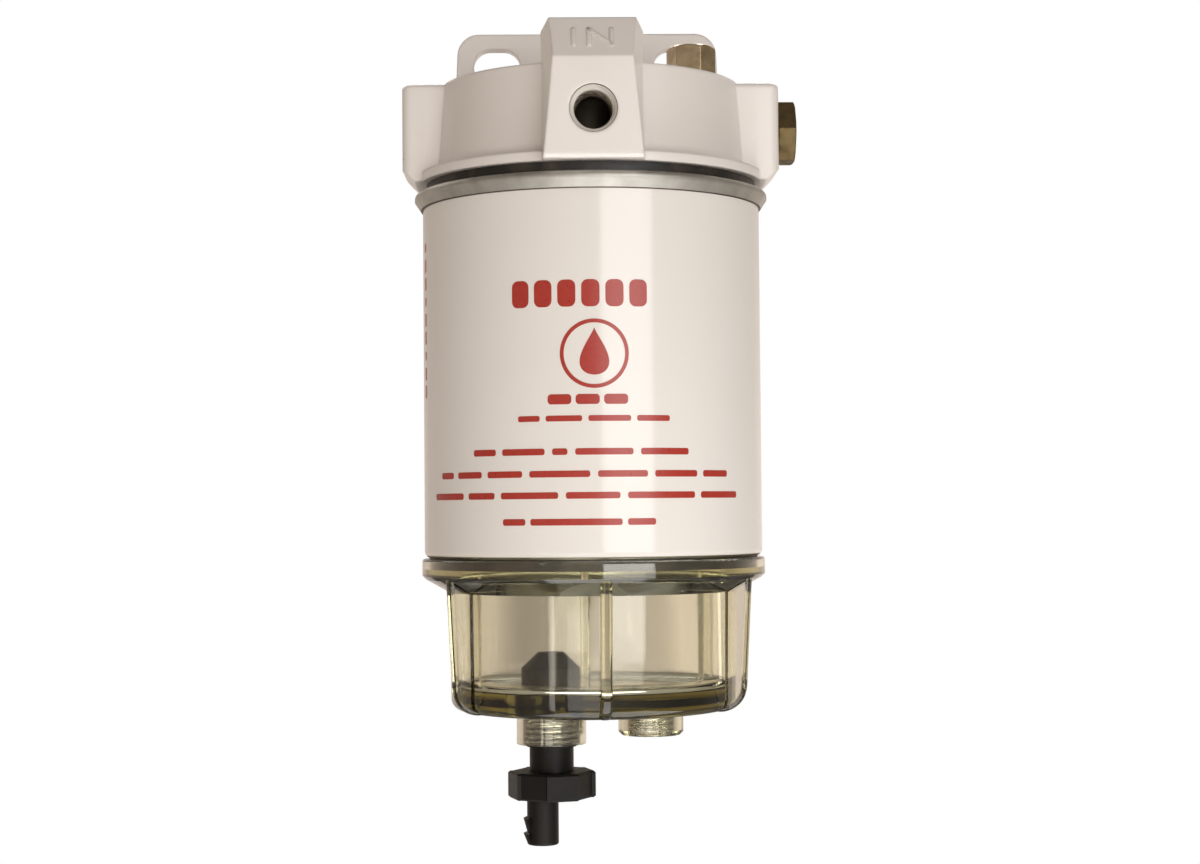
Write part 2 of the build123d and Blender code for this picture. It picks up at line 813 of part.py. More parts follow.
# Ring in the can's foot that the bowl screws into
with BuildPart() as bowl_thread_ring:
    with BuildSketch(upright()) as ring_section:
        with BuildLine():
            Polyline(
                (neck_radius + running_gap, ring_foot),
                (can_bore_radius - seat_gap, ring_foot),
                (can_bore_radius - seat_gap, ring_top),
                (neck_radius + running_gap, ring_top),
                close=True,
            )
        make_face()
        foot_corner = ring_section.vertices().sort_by_distance((can_bore_radius, ring_foot))[0]
        chamfer(foot_corner, length=can_curl_round - can_wall)
    revolve(axis=filter_axis)

# Flat gasket on the bowl's flange
with BuildPart() as bowl_gasket:
    with BuildSketch(level(gasket_seat)):
        Circle(bowl_gasket_radius)
        Circle(neck_radius + bowl_gasket_margin, mode=Mode.SUBTRACT)
    extrude(amount=flange_drop)

# One of the bowl's ribs: narrower towards the foot, its outer edge rounded
with BuildPart() as bowl_rib:
    with BuildSketch(upright(front_bearing)) as rib_section:
        with BuildLine():
            Polyline(
                (bowl_foot_radius - bowl_corner_round, bowl_foot),
                (rib_foot_radius, bowl_foot),
                (rib_top_radius, flange_foot + flange_thickness / 2),
                (bowl_foot_radius - bowl_wall / 2, flange_foot + flange_thickness / 2),
                (bowl_foot_radius - bowl_wall / 2, bowl_foot + bowl_floor / 2),
                (bowl_foot_radius - bowl_corner_round, bowl_foot + bowl_floor / 2),
                close=True,
            )
        make_face()
        outer_corner = rib_section.vertices().sort_by_distance((rib_foot_radius, bowl_foot))[0]
        fillet(outer_corner, radius=rib_corner_round)
    extrude(amount=rib_thickness / 2, both=True)
    across = Axis((0, 0, 0), upright(front_bearing).z_dir)
    rib_faces = bowl_rib.faces().filter_by(across)
    rim = [
        edge
        for edge in rib_faces.edges()
        if (edge.center() - Vector(0, axis_y, edge.center().Z)).length > bowl_radius + 1
        and edge.center().Z < flange_foot + flange_thickness / 4
    ]
    fillet(rim, radius=rib_edge_round)

# Clear bowl: neck, flange with its gasket collar, ribbed wall and two bosses
with BuildPart() as bowl:
    with BuildSketch(upright()) as bowl_section:
        with BuildLine():
            Polyline(
                (0, bowl_foot),
                (bowl_foot_radius, bowl_foot),
                (bowl_radius, shoulder_foot),
                (flange_radius - flange_edge, flange_foot),
                (flange_radius, flange_foot + flange_edge),
                (flange_radius, gasket_seat + collar_height),
                (flange_radius - collar_wall, gasket_seat + collar_height),
                (flange_radius - collar_wall, gasket_seat),
                (neck_radius, gasket_seat),
                (neck_radius, gasket_seat + neck_height - neck_lead),
                (neck_radius - neck_lead, gasket_seat + neck_height),
                (bowl_inner_radius, gasket_seat + neck_height),
                (bowl_inner_radius, floor_level),
                (0, floor_level),
                close=True,
            )
        make_face()
        outer_corner = bowl_section.vertices().sort_by_distance((bowl_foot_radius, bowl_foot))[0]
        fillet(outer_corner, radius=bowl_corner_round)
        inner_corner = bowl_section.vertices().sort_by_distance((bowl_inner_radius, floor_level))[0]
        fillet(inner_corner, radius=bowl_inner_round)
        collar_top_corner = (flange_radius, gasket_seat + collar_height)
        fillet(bowl_section.vertices().sort_by_distance(collar_top_corner)[0], radius=flange_round)
    revolve(axis=filter_axis)
    for rib in range(rib_count):
        add(bowl_rib.part.rotate(filter_axis, 360 / rib_count * rib))
    with BuildSketch(level(floor_level - bowl_floor / 2, drain_x, drain_y)):
        Circle(drain_boss_radius)
    extrude(amount=drain_boss_foot - floor_level + bowl_floor / 2)
    with BuildSketch(level(floor_level - bowl_floor / 2, sensor_x, sensor_y)):
        Circle(sensor_boss_radius)
    extrude(amount=sensor_boss_foot - floor_level + bowl_floor / 2)
    sensor_foot = (sensor_x, sensor_y, sensor_boss_foot)
    sensor_rim = bowl.edges().filter_by(GeomType.CIRCLE).sort_by_distance(sensor_foot)[0]
    chamfer(sensor_rim, length=sensor_boss_chamfer)
    with BuildSketch(level(floor_level + 1, drain_x, drain_y)):
        Circle(stem_radius + running_gap)
    extrude(amount=drain_boss_foot - floor_level - 2, mode=Mode.SUBTRACT)
    with BuildSketch(level(drain_thread_top, drain_x, drain_y)):
        Circle(drain_thread_radius)
    extrude(amount=drain_boss_foot - drain_thread_top - 1, mode=Mode.SUBTRACT)
    with BuildSketch(level(sensor_boss_foot, sensor_x, sensor_y)):
        Circle(sensor_bore_radius)
    extrude(amount=sensor_bore_depth, mode=Mode.SUBTRACT)

# Drain valve: stem, threaded collar, knob and barbed nozzle moulded as one
stem_ring_top = floor_level - stem_ring_drop
groove_radius = stem_radius - stem_ring_depth
groove_height = stem_ring_height + 2 * running_gap
with BuildPart() as drain_stem:
    with BuildSketch(upright(0, drain_x, drain_y)):
        with BuildLine():
            Polyline(
                (0, knob_foot),
                (stem_radius, knob_foot),
                (stem_radius, drain_boss_foot - collar_step),
                (collar_radius, drain_boss_foot),
                (collar_radius, collar_top),
                (stem_radius, collar_top),
                (stem_radius, stem_ring_top - groove_height),
                (groove_radius, stem_ring_top - groove_height),
                (groove_radius, stem_ring_top),
                (stem_radius, stem_ring_top),
                (stem_radius, floor_level),
                (spigot_radius, floor_level),
                (spigot_radius, floor_level + spigot_height),
                (0, floor_level + spigot_height),
                close=True,
            )
        make_face()
    revolve(axis=stem_axis)

    # Knob: every other flat is recessed, with ends that slope at 45 degrees
    half_flat = pi / knob_sides
    flat_width = 2 * knob_radius * sin(half_flat)
    recess_middle = knob_radius * cos(half_flat) - knob_recess / 2
    recess_start = knob_turn - degrees(half_flat)
    with BuildSketch(level(knob_foot, drain_x, drain_y)):
        RegularPolygon(knob_radius, knob_sides, rotation=knob_turn)
        with PolarLocations(recess_middle, knob_sides // 2, start_angle=recess_start):
            Trapezoid(flat_width, knob_recess, 45, rotation=90, mode=Mode.SUBTRACT)
    extrude(amount=knob_height)
    knob_edges = [
        edge
        for edge in drain_stem.edges()
        if (edge.center() - Vector(drain_x, drain_y, edge.center().Z)).length > knob_radius * 0.8
        and abs(edge.tangent_at(0).Z) < 0.1
    ]
    chamfer(knob_edges, length=knob_chamfer)

    # Nozzle: each barb tapers to the next ledge, the last one to the rounded foot
    with BuildSketch(level(knob_foot, nozzle_x, drain_y)):
        Circle(nozzle_radius)
    extrude(amount=-nozzle_length)
    fillet(drain_stem.edges().sort_by(Axis.Z)[0], radius=nozzle_round)
    first_ledge = knob_foot - barb_start
    second_ledge = first_ledge - barb_pitch
    for ledge, barb_foot in ((first_ledge, second_ledge), (second_ledge, nozzle_foot + nozzle_round)):
        with BuildSketch(upright(180 - barb_arc / 2, nozzle_x, drain_y)):
            with BuildLine():
                Polyline(
                    (nozzle_radius - barb_height, ledge),
                    (nozzle_radius, ledge),
                    (nozzle_radius + barb_height, ledge - barb_slope),
                    (nozzle_radius, barb_foot),
                    (nozzle_radius - barb_height, barb_foot),
                    close=True,
                )
            make_face()
        revolve(axis=nozzle_axis, revolution_arc=barb_arc)

    # Passage from the nozzle up to a side port just under the bowl's floor
    with BuildSketch(level(nozzle_foot, nozzle_x, drain_y)):
        Circle(nozzle_bore_radius)
    extrude(amount=nozzle_length + knob_height / 2, mode=Mode.SUBTRACT)
    with BuildSketch(level(knob_foot + knob_height / 3, drain_x, drain_y)):
        Circle(nozzle_bore_radius)
    bore_roof = side_port_level + side_port_radius
    extrude(amount=bore_roof - knob_foot - knob_height / 3, mode=Mode.SUBTRACT)
    with BuildSketch(Plane(origin=(drain_x, drain_y, side_port_level), x_dir=(0, 1, 0), z_dir=(-1, 0, 0))):
        Circle(side_port_radius)
    extrude(amount=stem_radius + 1, mode=Mode.SUBTRACT)

# Cap screwed on the stem's spigot, inside the bowl
with BuildPart() as drain_cap:
    with BuildSketch(upright(0, drain_x, drain_y)):
        with BuildLine():
            Polyline(
                (spigot_radius + seat_gap, floor_level),
                (seat_ring_inner_radius, floor_level),
                (seat_ring_inner_radius, floor_level + seat_ring_height),
                (seat_ring_outer_radius, floor_level + seat_ring_height),
                (seat_ring_outer_radius, floor_level),
                (drain_cap_radius, floor_level),
                (drain_cap_radius, floor_level + drain_cap_cylinder),
                (drain_cap_top_radius, floor_level + drain_cap_height),
                (0, floor_level + drain_cap_height),
                (0, floor_level + spigot_height + seat_gap),
                (spigot_radius + seat_gap, floor_level + spigot_height + seat_gap),
                close=True,
            )
        make_face()
    revolve(axis=stem_axis)

# Soft rings of the drain valve
with BuildPart() as drain_seat_ring:
    with BuildSketch(level(floor_level, drain_x, drain_y)):
        Circle(seat_ring_outer_radius)
        Circle(seat_ring_inner_radius, mode=Mode.SUBTRACT)
    extrude(amount=seat_ring_height)

with BuildPart() as drain_stem_ring:
    with BuildSketch(upright(0, drain_x, drain_y)) as ring_profile:
        ring_middle = (groove_radius + stem_radius + running_gap) / 2
        with Locations((ring_middle, stem_ring_top - groove_height / 2)):
            Rectangle(stem_ring_depth - running_gap, stem_ring_height)
        fillet(ring_profile.vertices(), radius=stem_ring_round)
    revolve(axis=stem_axis)

# Names and files
pieces = {
    "head_casting": head_casting,
    "centre_stud": centre_stud,
    "port_plug": port_plug,
    "vent_plug": vent_plug,
    "vent_washer": vent_washer,
    "head_gasket": head_gasket,
    "can_shell": can_shell,
    "can_lid": can_lid,
    "tapping_plate": tapping_plate,
    "element_grommet": element_grommet,
    "upper_end_cap": upper_end_cap,
    "pleated_media": pleated_media,
    "centre_tube": centre_tube,
    "lower_end_cap": lower_end_cap,
    "element_support": element_support,
    "bowl_thread_ring": bowl_thread_ring,
    "bowl_gasket": bowl_gasket,
    "bowl": bowl,
    "drain_stem": drain_stem,
    "drain_stem_ring": drain_stem_ring,
    "drain_cap": drain_cap,
    "drain_seat_ring": drain_seat_ring,
}
os.makedirs("parts", exist_ok=True)
for name, piece in pieces.items():
    piece.part.label = name
    export_step(piece.part, f"parts/{name}.step")
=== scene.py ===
"""Looks of a spin-on diesel fuel filter with a clear bowl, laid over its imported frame.

Sizes are in millimetres in the classes and go to metres when a mesh or a node is made.
The filter's axis is vertical and its front faces -Y.
"""

import logging
import math
from abc import ABC, abstractmethod
from dataclasses import dataclass, field
from enum import Enum

import bpy
import numpy as np
from bpy.types import ID, Material, Node, NodeSocket, Object
from mathutils import Matrix


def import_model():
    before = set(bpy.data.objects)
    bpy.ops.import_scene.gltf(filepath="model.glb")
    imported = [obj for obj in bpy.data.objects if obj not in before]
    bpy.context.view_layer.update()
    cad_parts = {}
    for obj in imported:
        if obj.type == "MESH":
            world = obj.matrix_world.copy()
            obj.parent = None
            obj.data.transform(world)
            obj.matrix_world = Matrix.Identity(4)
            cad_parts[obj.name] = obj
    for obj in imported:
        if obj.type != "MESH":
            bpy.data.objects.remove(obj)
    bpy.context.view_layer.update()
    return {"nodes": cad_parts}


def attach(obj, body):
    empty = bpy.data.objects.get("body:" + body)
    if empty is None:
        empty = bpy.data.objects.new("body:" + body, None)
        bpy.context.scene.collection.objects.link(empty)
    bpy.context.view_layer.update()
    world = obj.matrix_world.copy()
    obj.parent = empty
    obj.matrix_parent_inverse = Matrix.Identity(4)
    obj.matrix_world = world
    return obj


Pair = tuple[float, float]
Point = tuple[float, float, float]
Colour = tuple[float, float, float, float]

MM = 0.001
AXIS_Y = -50.5  # filter axis, behind it is the bracket's wall face at y = 0
DRAIN_AXIS = (-12.003, -57.208)  # of the bowl's drain boss and of the valve in it
UPRIGHT = (0.0, 0.0, 1.0)
WHITE = (1.0, 1.0, 1.0, 1.0)
log = logging.getLogger("fuel_filter")


# Meshes


class Ends(Enum):
    """How a run of rings finishes."""

    CAPPED = "capped"
    JOINED = "joined"


@dataclass
class Skin:
    """Closed surfaces in millimetres, gathered into one mesh object."""

    name: str
    points: list[np.ndarray] = field(default_factory=list)
    faces: list[list[int]] = field(default_factory=list)

    def add(self, rings: np.ndarray, ends: Ends = Ends.CAPPED) -> None:
        """Adds one closed surface: neighbouring rings are bridged with four-sided faces.

        The sign of the enclosed volume, the sum of point . (next x far) over the faces, tells
        which way they turn, and a negative one reverses them, so that all point outwards.

        Args:
            rings: Points as rings x points in a ring x 3. Each ring closes on itself.
            ends: Whether the first and last rings are capped or bridged to each other.
        """
        count, around = rings.shape[:2]
        index = np.arange(count * around).reshape(count, around)
        near = index if ends is Ends.JOINED else index[:-1]
        far = np.roll(index, -1, axis=0) if ends is Ends.JOINED else index[1:]
        quads = np.stack((near, np.roll(near, -1, 1), np.roll(far, -1, 1), far), -1).reshape(-1, 4)
        flat = rings.reshape(-1, 3)
        centred = flat - flat.mean(0)
        first, second, third, fourth = centred[quads].transpose(1, 0, 2)
        volume = (first * np.cross(second, third)).sum() + (first * np.cross(third, fourth)).sum()
        faces = quads.tolist()
        if ends is Ends.CAPPED:
            for cap in (index[0, ::-1], index[-1]):
                ring = centred[cap]
                volume += (np.cross(ring[1:-1], ring[2:]) @ ring[0]).sum()
                faces.append(cap.tolist())
        if volume < 0:
            faces = [face[::-1] for face in faces]
        start = sum(map(len, self.points))
        self.faces += [[start + corner for corner in face] for face in faces]
        self.points.append(flat)

    def make(self, finish: Material, body: str, slot: str, crease: float = 40.0) -> None:
        """Makes the mesh object, at the origin, and declares what it rides on.

        Args:
            finish: The material it wears.
            body: The moving body it belongs to.
            slot: Not used.
            crease: Edges sharper than this many degrees stay sharp.
        """
        mesh = bpy.data.meshes.new(self.name)
        mesh.from_pydata((np.concatenate(self.points) * MM).tolist(), [], self.faces)
        mesh.polygons.foreach_set("use_smooth", np.ones(len(mesh.polygons), bool))
        mesh.set_sharp_from_angle(angle=math.radians(crease))
        mesh.materials.append(finish)
        piece = bpy.data.objects.new(self.name, mesh)
        bpy.context.scene.collection.objects.link(piece)
        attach(piece, body)
        log.info("piece %s: %d faces on %s", self.name, len(self.faces), body)


@dataclass(frozen=True)
class Thread:
    """A threaded wall: root + (crest - root) x tooth(distance along / pitch - angle / one turn).

    The tooth is a triangle wave with an eighth of the pitch cut off its top and bottom. It fades
    out over a length at both ends, and the wall closes at the back radius.
    """

    root: float  # radius at the thread's root
    crest: float  # radius at its crest, inside the root for a tapped hole
    back: float  # radius of the plain side of the wall
    length: float
    pitch: float
    fade: float  # length over which it runs out
    around: int = 96  # steps round the axis
    per_pitch: int = 12  # steps along the axis

    def sleeve(self, name: str, foot: Point, along: Point) -> Skin:
        """Works out the wall's surface.

        Args:
            name: Name of the piece.
            foot: Start of the thread's axis.
            along: Unit direction of the axis.

        Returns:
            The surface, ready to be made.
        """
        axis = np.array(along)
        across = np.array((0.0, 0.0, 1.0)) if abs(axis[2]) < 0.5 else np.array((1.0, 0.0, 0.0))
        side = np.cross(axis, across)
        steps = int(self.length / self.pitch * self.per_pitch)
        distance = np.linspace(0.0, self.length, steps)[None, :]
        angle = np.linspace(0.0, 2 * np.pi, self.around, endpoint=False)[:, None]
        wave = np.abs(np.mod(distance / self.pitch - angle / (2 * np.pi), 1.0) - 0.5) * 2
        tooth = np.clip((wave - 0.125) / 0.75, 0.0, 1.0)
        run_out = np.clip(np.minimum(distance, self.length - distance) / self.fade, 0.0, 1.0)
        radius = self.root + (self.crest - self.root) * tooth * run_out
        radius = np.concatenate((radius, np.full((self.around, 2), self.back)), 1)
        reach = np.concatenate((distance, np.array([[self.length, 0.0]])), 1)
        spread = np.cos(angle)[..., None] * across + np.sin(angle)[..., None] * side
        skin = Skin(name)
        skin.add(np.array(foot) + radius[..., None] * spread + reach[..., None] * axis, Ends.JOINED)
        return skin


@dataclass(frozen=True)
class Slope:
    """A plane that pads stand on, leaning back from upright."""

    foot: Point
    lean: float  # degrees
    sunk: float = 0.25  # how deep a pad's foot goes into the plane

    def pad(self, outline: np.ndarray, height: float) -> np.ndarray:
        """A raised pad with drafted sides and a rounded top edge over a closed outline.

        Each ring is the outline drawn in by an inset and lifted off the plane: first sunk, then
        flush, then in by 0.35 of the height and up 0.85 of it, then in by 0.75 and fully up.
        The plane's second direction is (0, sin(lean), cos(lean)).

        Args:
            outline: Points x 2 on the plane, counter-clockwise.
            height: How far the pad stands out.

        Returns:
            Rings for Ends.CAPPED.
        """
        lean = math.radians(self.lean)
        across = np.array((1.0, 0.0, 0.0))
        up = np.array((0.0, math.sin(lean), math.cos(lean)))
        out = np.cross(across, up)
        ahead = np.roll(outline, -1, 0) - np.roll(outline, 1, 0)
        inward = np.stack((-ahead[:, 1], ahead[:, 0]), -1)
        inward /= np.linalg.norm(inward, axis=1, keepdims=True)
        steps = ((0.0, -self.sunk), (0.0, 0.0), (0.35 * height, 0.85 * height), (0.75 * height, height))
        rings = []
        for inset, lift in steps:
            drawn = outline + inward * inset
            rings.append(np.array(self.foot) + drawn[:, :1] * across + drawn[:, 1:] * up + out * lift)
        return np.stack(rings)


def bar_outline(start: Pair, end: Pair, width: float) -> np.ndarray:
    """A stadium: half circles of half the width round both ends, joined by straight sides.

    Args:
        start: Centre of the first half circle.
        end: Centre of the second.
        width: The stadium's width.

    Returns:
        Points x 2, counter-clockwise.
    """
    first, last = np.array(start), np.array(end)
    heading = math.atan2(*(last - first)[::-1])
    turn = np.linspace(-np.pi / 2, np.pi / 2, 8) + heading
    cap = np.stack((np.cos(turn), np.sin(turn)), -1) * width / 2
    return np.concatenate((last + cap, first - cap))


# Finishes


def srgb(code: str) -> Colour:
    """Turns an sRGB hex colour to linear.

    Args:
        code: Six hex digits.

    Returns:
        Red, green, blue and a full alpha.
    """
    raw = [int(code[at : at + 2], 16) / 255 for at in (0, 2, 4)]
    red, green, blue = (c / 12.92 if c <= 0.04045 else ((c + 0.055) / 1.055) ** 2.4 for c in raw)
    return (red, green, blue, 1.0)


def per_mm(size: float) -> float:
    """Scale of a pattern on Object coordinates whose features are this many millimetres."""
    return 1.0 / (size * MM)


class NodeTree:
    """The nodes of one material or world."""

    def __init__(self, owner: ID) -> None:
        """Empties the owner's node tree.

        Args:
            owner: The material or world.
        """
        owner.use_nodes = True
        self.tree = owner.node_tree
        self.tree.nodes.clear()

    def put(self, kind: str, inputs: dict | None = None, **settings: object) -> Node:
        """Adds a node with its settings and links.

        Args:
            kind: Its type, without the ShaderNode before it.
            inputs: Values, sockets or nodes for its inputs, by name or number.
            settings: Its own properties.

        Returns:
            The node.
        """
        added = self.tree.nodes.new("ShaderNode" + kind)
        for name, value in settings.items():
            setattr(added, name, value)
        self.wire(added, inputs or {})
        return added

    def wire(self, target: Node, inputs: dict) -> None:
        """Sets or links inputs of a node that is there already.

        Args:
            target: The node.
            inputs: Values, sockets or nodes, by the input's name or number. A node gives the
                first of its outputs that is in use.
        """
        for key, value in inputs.items():
            if isinstance(value, Node):
                value = next(output for output in value.outputs if output.enabled)
            if isinstance(value, NodeSocket):
                self.tree.links.new(value, target.inputs[key])
            else:
                target.inputs[key].default_value = value


class Recipe(NodeTree):
    """A material in the making."""

    def __init__(self, name: str) -> None:
        """Starts a material with one shader, its output and its coordinates.

        Args:
            name: The material's name.
        """
        self.material = bpy.data.materials.new(name)
        super().__init__(self.material)
        self.shader = self.put("BsdfPrincipled")
        self.output = self.put("OutputMaterial", {"Surface": self.shader})
        self.place = self.put("TexCoord").outputs["Object"]

    def mottle(
        self, size: float, detail: float, colours: tuple[str, str], span: Point | None = None
    ) -> tuple[Node, Node]:
        """Clouds one colour with another.

        Args:
            size: Size of the clouds.
            detail: How finely they break up.
            colours: The main colour and the clouds'.
            span: Noise at which the second colour begins, noise at which it is strongest, and
                its share there. Without it the share is the noise itself.

        Returns:
            The noise and the mixed colour.
        """
        noise = self.put("TexNoise", {"Vector": self.place, "Scale": per_mm(size), "Detail": detail})
        share = noise
        if span:
            limits = dict(zip(("From Min", "From Max", "To Max"), span))
            share = self.put("MapRange", {"Value": noise, **limits})
        main, cloud = (srgb(code) for code in colours)
        return noise, self.put("Mix", {"Factor": share, "A": main, "B": cloud}, data_type="RGBA")

    def ripple(
        self, size: float, detail: float, depth: float, run: Node | None = None, over: Node | None = None
    ) -> tuple[Node, Node]:
        """Lifts the surface by a noise.

        Args:
            size: Size of the bumps.
            detail: How finely they break up.
            depth: Their height.
            run: Coordinates for them, where they aren't the object's own.
            over: A normal that they are laid over.

        Returns:
            The noise and the normal.
        """
        noise = self.put("TexNoise", {"Vector": run or self.place, "Scale": per_mm(size), "Detail": detail})
        relief = self.put("Bump", {"Height": noise, "Distance": depth * MM})
        if over:
            self.wire(relief, {"Normal": over})
        return noise, relief

    def near_axis(self, foot: Point, across: Point, reach: float) -> Node:
        """One within a distance of an axis, nought elsewhere.

        The distance is the length of (place - foot) x across.

        Args:
            foot: A point on the axis, nought along it.
            across: One for each direction across the axis, nought along it.
            reach: The distance.

        Returns:
            The one or nought.
        """
        moved = {"Vector": self.place, "Location": [-value * MM for value in foot], "Scale": across}
        away = self.put("VectorMath", {0: self.put("Mapping", moved)}, operation="LENGTH")
        return self.put("Math", {0: away, 1: reach * MM}, operation="LESS_THAN")

    def finished(self, inputs: dict) -> Material:
        """Gives the shader its inputs.

        Args:
            inputs: As for wire.

        Returns:
            The finished material.
        """
        self.wire(self.shader, inputs)
        return self.material


class Finish(ABC):
    """How a surface was made and what that gives the eye."""

    @abstractmethod
    def build(self) -> Material:
        """Makes the material."""


@dataclass(frozen=True)
class PowderCoat(Finish):
    """White powder coat, sprayed and baked on cast aluminium, bare where it was tapped or faced.

    The powder flows into low waves over the sand grain of the casting, so highlights are broad
    and faintly mottled, with a few dark flecks. Holes and the inside show dull bare metal, whose
    dark tone in the ports also paints the shade deep in their bores.
    """

    name: str = "powder_coated_casting"
    colour: str = "F4EEEA"
    low_colour: str = "ECE4DE"
    fleck: str = "6E655B"
    # bare metal, dark enough to paint the shade deep in the ports' bores
    metal: str = "6E665B"
    roughness: Pair = (0.27, 0.38)
    bare_roughness: float = 0.46
    gloss: float = 0.7
    wave_mm: float = 2.2
    wave_depth_mm: float = 0.010
    grain_mm: float = 0.7  # coarser than real moulding sand, which wouldn't show
    grain_depth_mm: float = 0.008
    cloud_mm: float = 22.0
    fleck_apart_mm: float = 9.0
    fleck_share: float = 0.022  # radius of a fleck, as a share of that distance
    edge_mm: float = 1.1  # powder and the worn pattern round every edge
    inlet_level: float = -30.6
    side_level: float = -28.8
    port_reach: float = 6.2  # radius of a port's bare bore, darkened as painted shade
    inlet_back: float = -85.0  # y at which the front port's bore ends
    core_reach: float = 37.5  # radius of the faced inside
    roof: float = -19.0  # height at which the inside ends

    def build(self) -> Material:
        """Makes the material.

        Returns:
            The material.
        """
        mix = Recipe(self.name)
        edge = mix.put("Bevel", {"Radius": self.edge_mm * MM}, samples=6)
        wave = mix.ripple(self.wave_mm, 1.0, self.wave_depth_mm, over=edge)[1]
        grain, fine = mix.ripple(self.grain_mm, 2.0, self.grain_depth_mm, over=wave)
        low, high = self.roughness
        sheen = mix.put("MapRange", {"Value": grain, "To Min": low, "To Max": high})
        tone = mix.mottle(self.cloud_mm, 2.0, (self.colour, self.low_colour))[1]
        cells = {"Vector": mix.place, "Scale": per_mm(self.fleck_apart_mm)}
        cell = mix.put("TexVoronoi", cells, feature="F1")
        spot = mix.put("Math", {0: cell, 1: self.fleck_share}, operation="LESS_THAN")
        flecked = mix.put("Mix", {"Factor": spot, "A": tone, "B": srgb(self.fleck)}, data_type="RGBA")
        # bare metal inside, which in the ports also paints the shade of the bores
        bare = self.bare_metal_and_bore_shade(mix)
        colour = mix.put("Mix", {"Factor": bare, "A": flecked, "B": srgb(self.metal)}, data_type="RGBA")
        rough = mix.put("Mix", {"Factor": bare, "A": sheen, "B": self.bare_roughness})
        surface = {"Base Color": colour, "Metallic": bare, "Roughness": rough, "Normal": fine}
        return mix.finished({**surface, "Specular IOR Level": self.gloss})

    def bare_metal_and_bore_shade(self, mix: Recipe) -> Node:
        """One inside the three ports and inside the head, nought elsewhere: bare metal, and in the ports
        painted shade deep in the bores.

        A port's part is within its mouth's radius of its axis, and the inside is within the
        gasket of the filter's axis, below the roof.

        Args:
            mix: The material's nodes.

        Returns:
            The one or nought.
        """
        front = mix.near_axis((0.0, 0.0, self.inlet_level), (1.0, 0.0, 1.0), self.port_reach)
        sides = mix.near_axis((0.0, AXIS_Y, self.side_level), (0.0, 1.0, 1.0), self.port_reach)
        core = mix.near_axis((0.0, AXIS_Y, 0.0), (1.0, 1.0, 0.0), self.core_reach)
        axes = mix.put("SeparateXYZ", {0: mix.place})
        ahead = mix.put("Math", {0: axes.outputs[1], 1: self.inlet_back * MM}, operation="LESS_THAN")
        below = mix.put("Math", {0: axes.outputs[2], 1: self.roof * MM}, operation="LESS_THAN")
        inlet = mix.put("Math", {0: front, 1: ahead}, operation="MULTIPLY")
        inside = mix.put("Math", {0: core, 1: below}, operation="MULTIPLY")
        ports = mix.put("Math", {0: inlet, 1: sides}, operation="MAXIMUM")
        return mix.put("Math", {0: ports, 1: inside}, operation="MAXIMUM")


@dataclass(frozen=True)
class GlossEnamel(Finish):
    """White stoving enamel on drawn steel sheet: sharp tall reflections, hardly broken by orange peel.

    The inside of the can is bare tinned sheet.
    """

    name: str = "stoving_enamel_on_steel"
    colour: str = "F2EDE8"
    low_colour: str = "EEE8E2"
    metal: str = "A8A49C"
    roughness: float = 0.13
    bare_roughness: float = 0.34
    cloud_mm: float = 35.0
    peel_mm: float = 2.6
    peel_depth_mm: float = 0.0035
    wall_inside: float = 46.1  # radius that parts the painted outside from the bare inside

    def build(self) -> Material:
        """Makes the material.

        Returns:
            The material.
        """
        mix = Recipe(self.name)
        tone = mix.mottle(self.cloud_mm, 2.0, (self.colour, self.low_colour))[1]
        bare = mix.near_axis((0.0, AXIS_Y, 0.0), (1.0, 1.0, 0.0), self.wall_inside)
        colour = mix.put("Mix", {"Factor": bare, "A": tone, "B": srgb(self.metal)}, data_type="RGBA")
        rough = mix.put("Mix", {"Factor": bare, "A": self.roughness, "B": self.bare_roughness})
        peel = mix.ripple(self.peel_mm, 1.0, self.peel_depth_mm)[1]
        return mix.finished({"Base Color": colour, "Metallic": bare, "Roughness": rough, "Normal": peel})


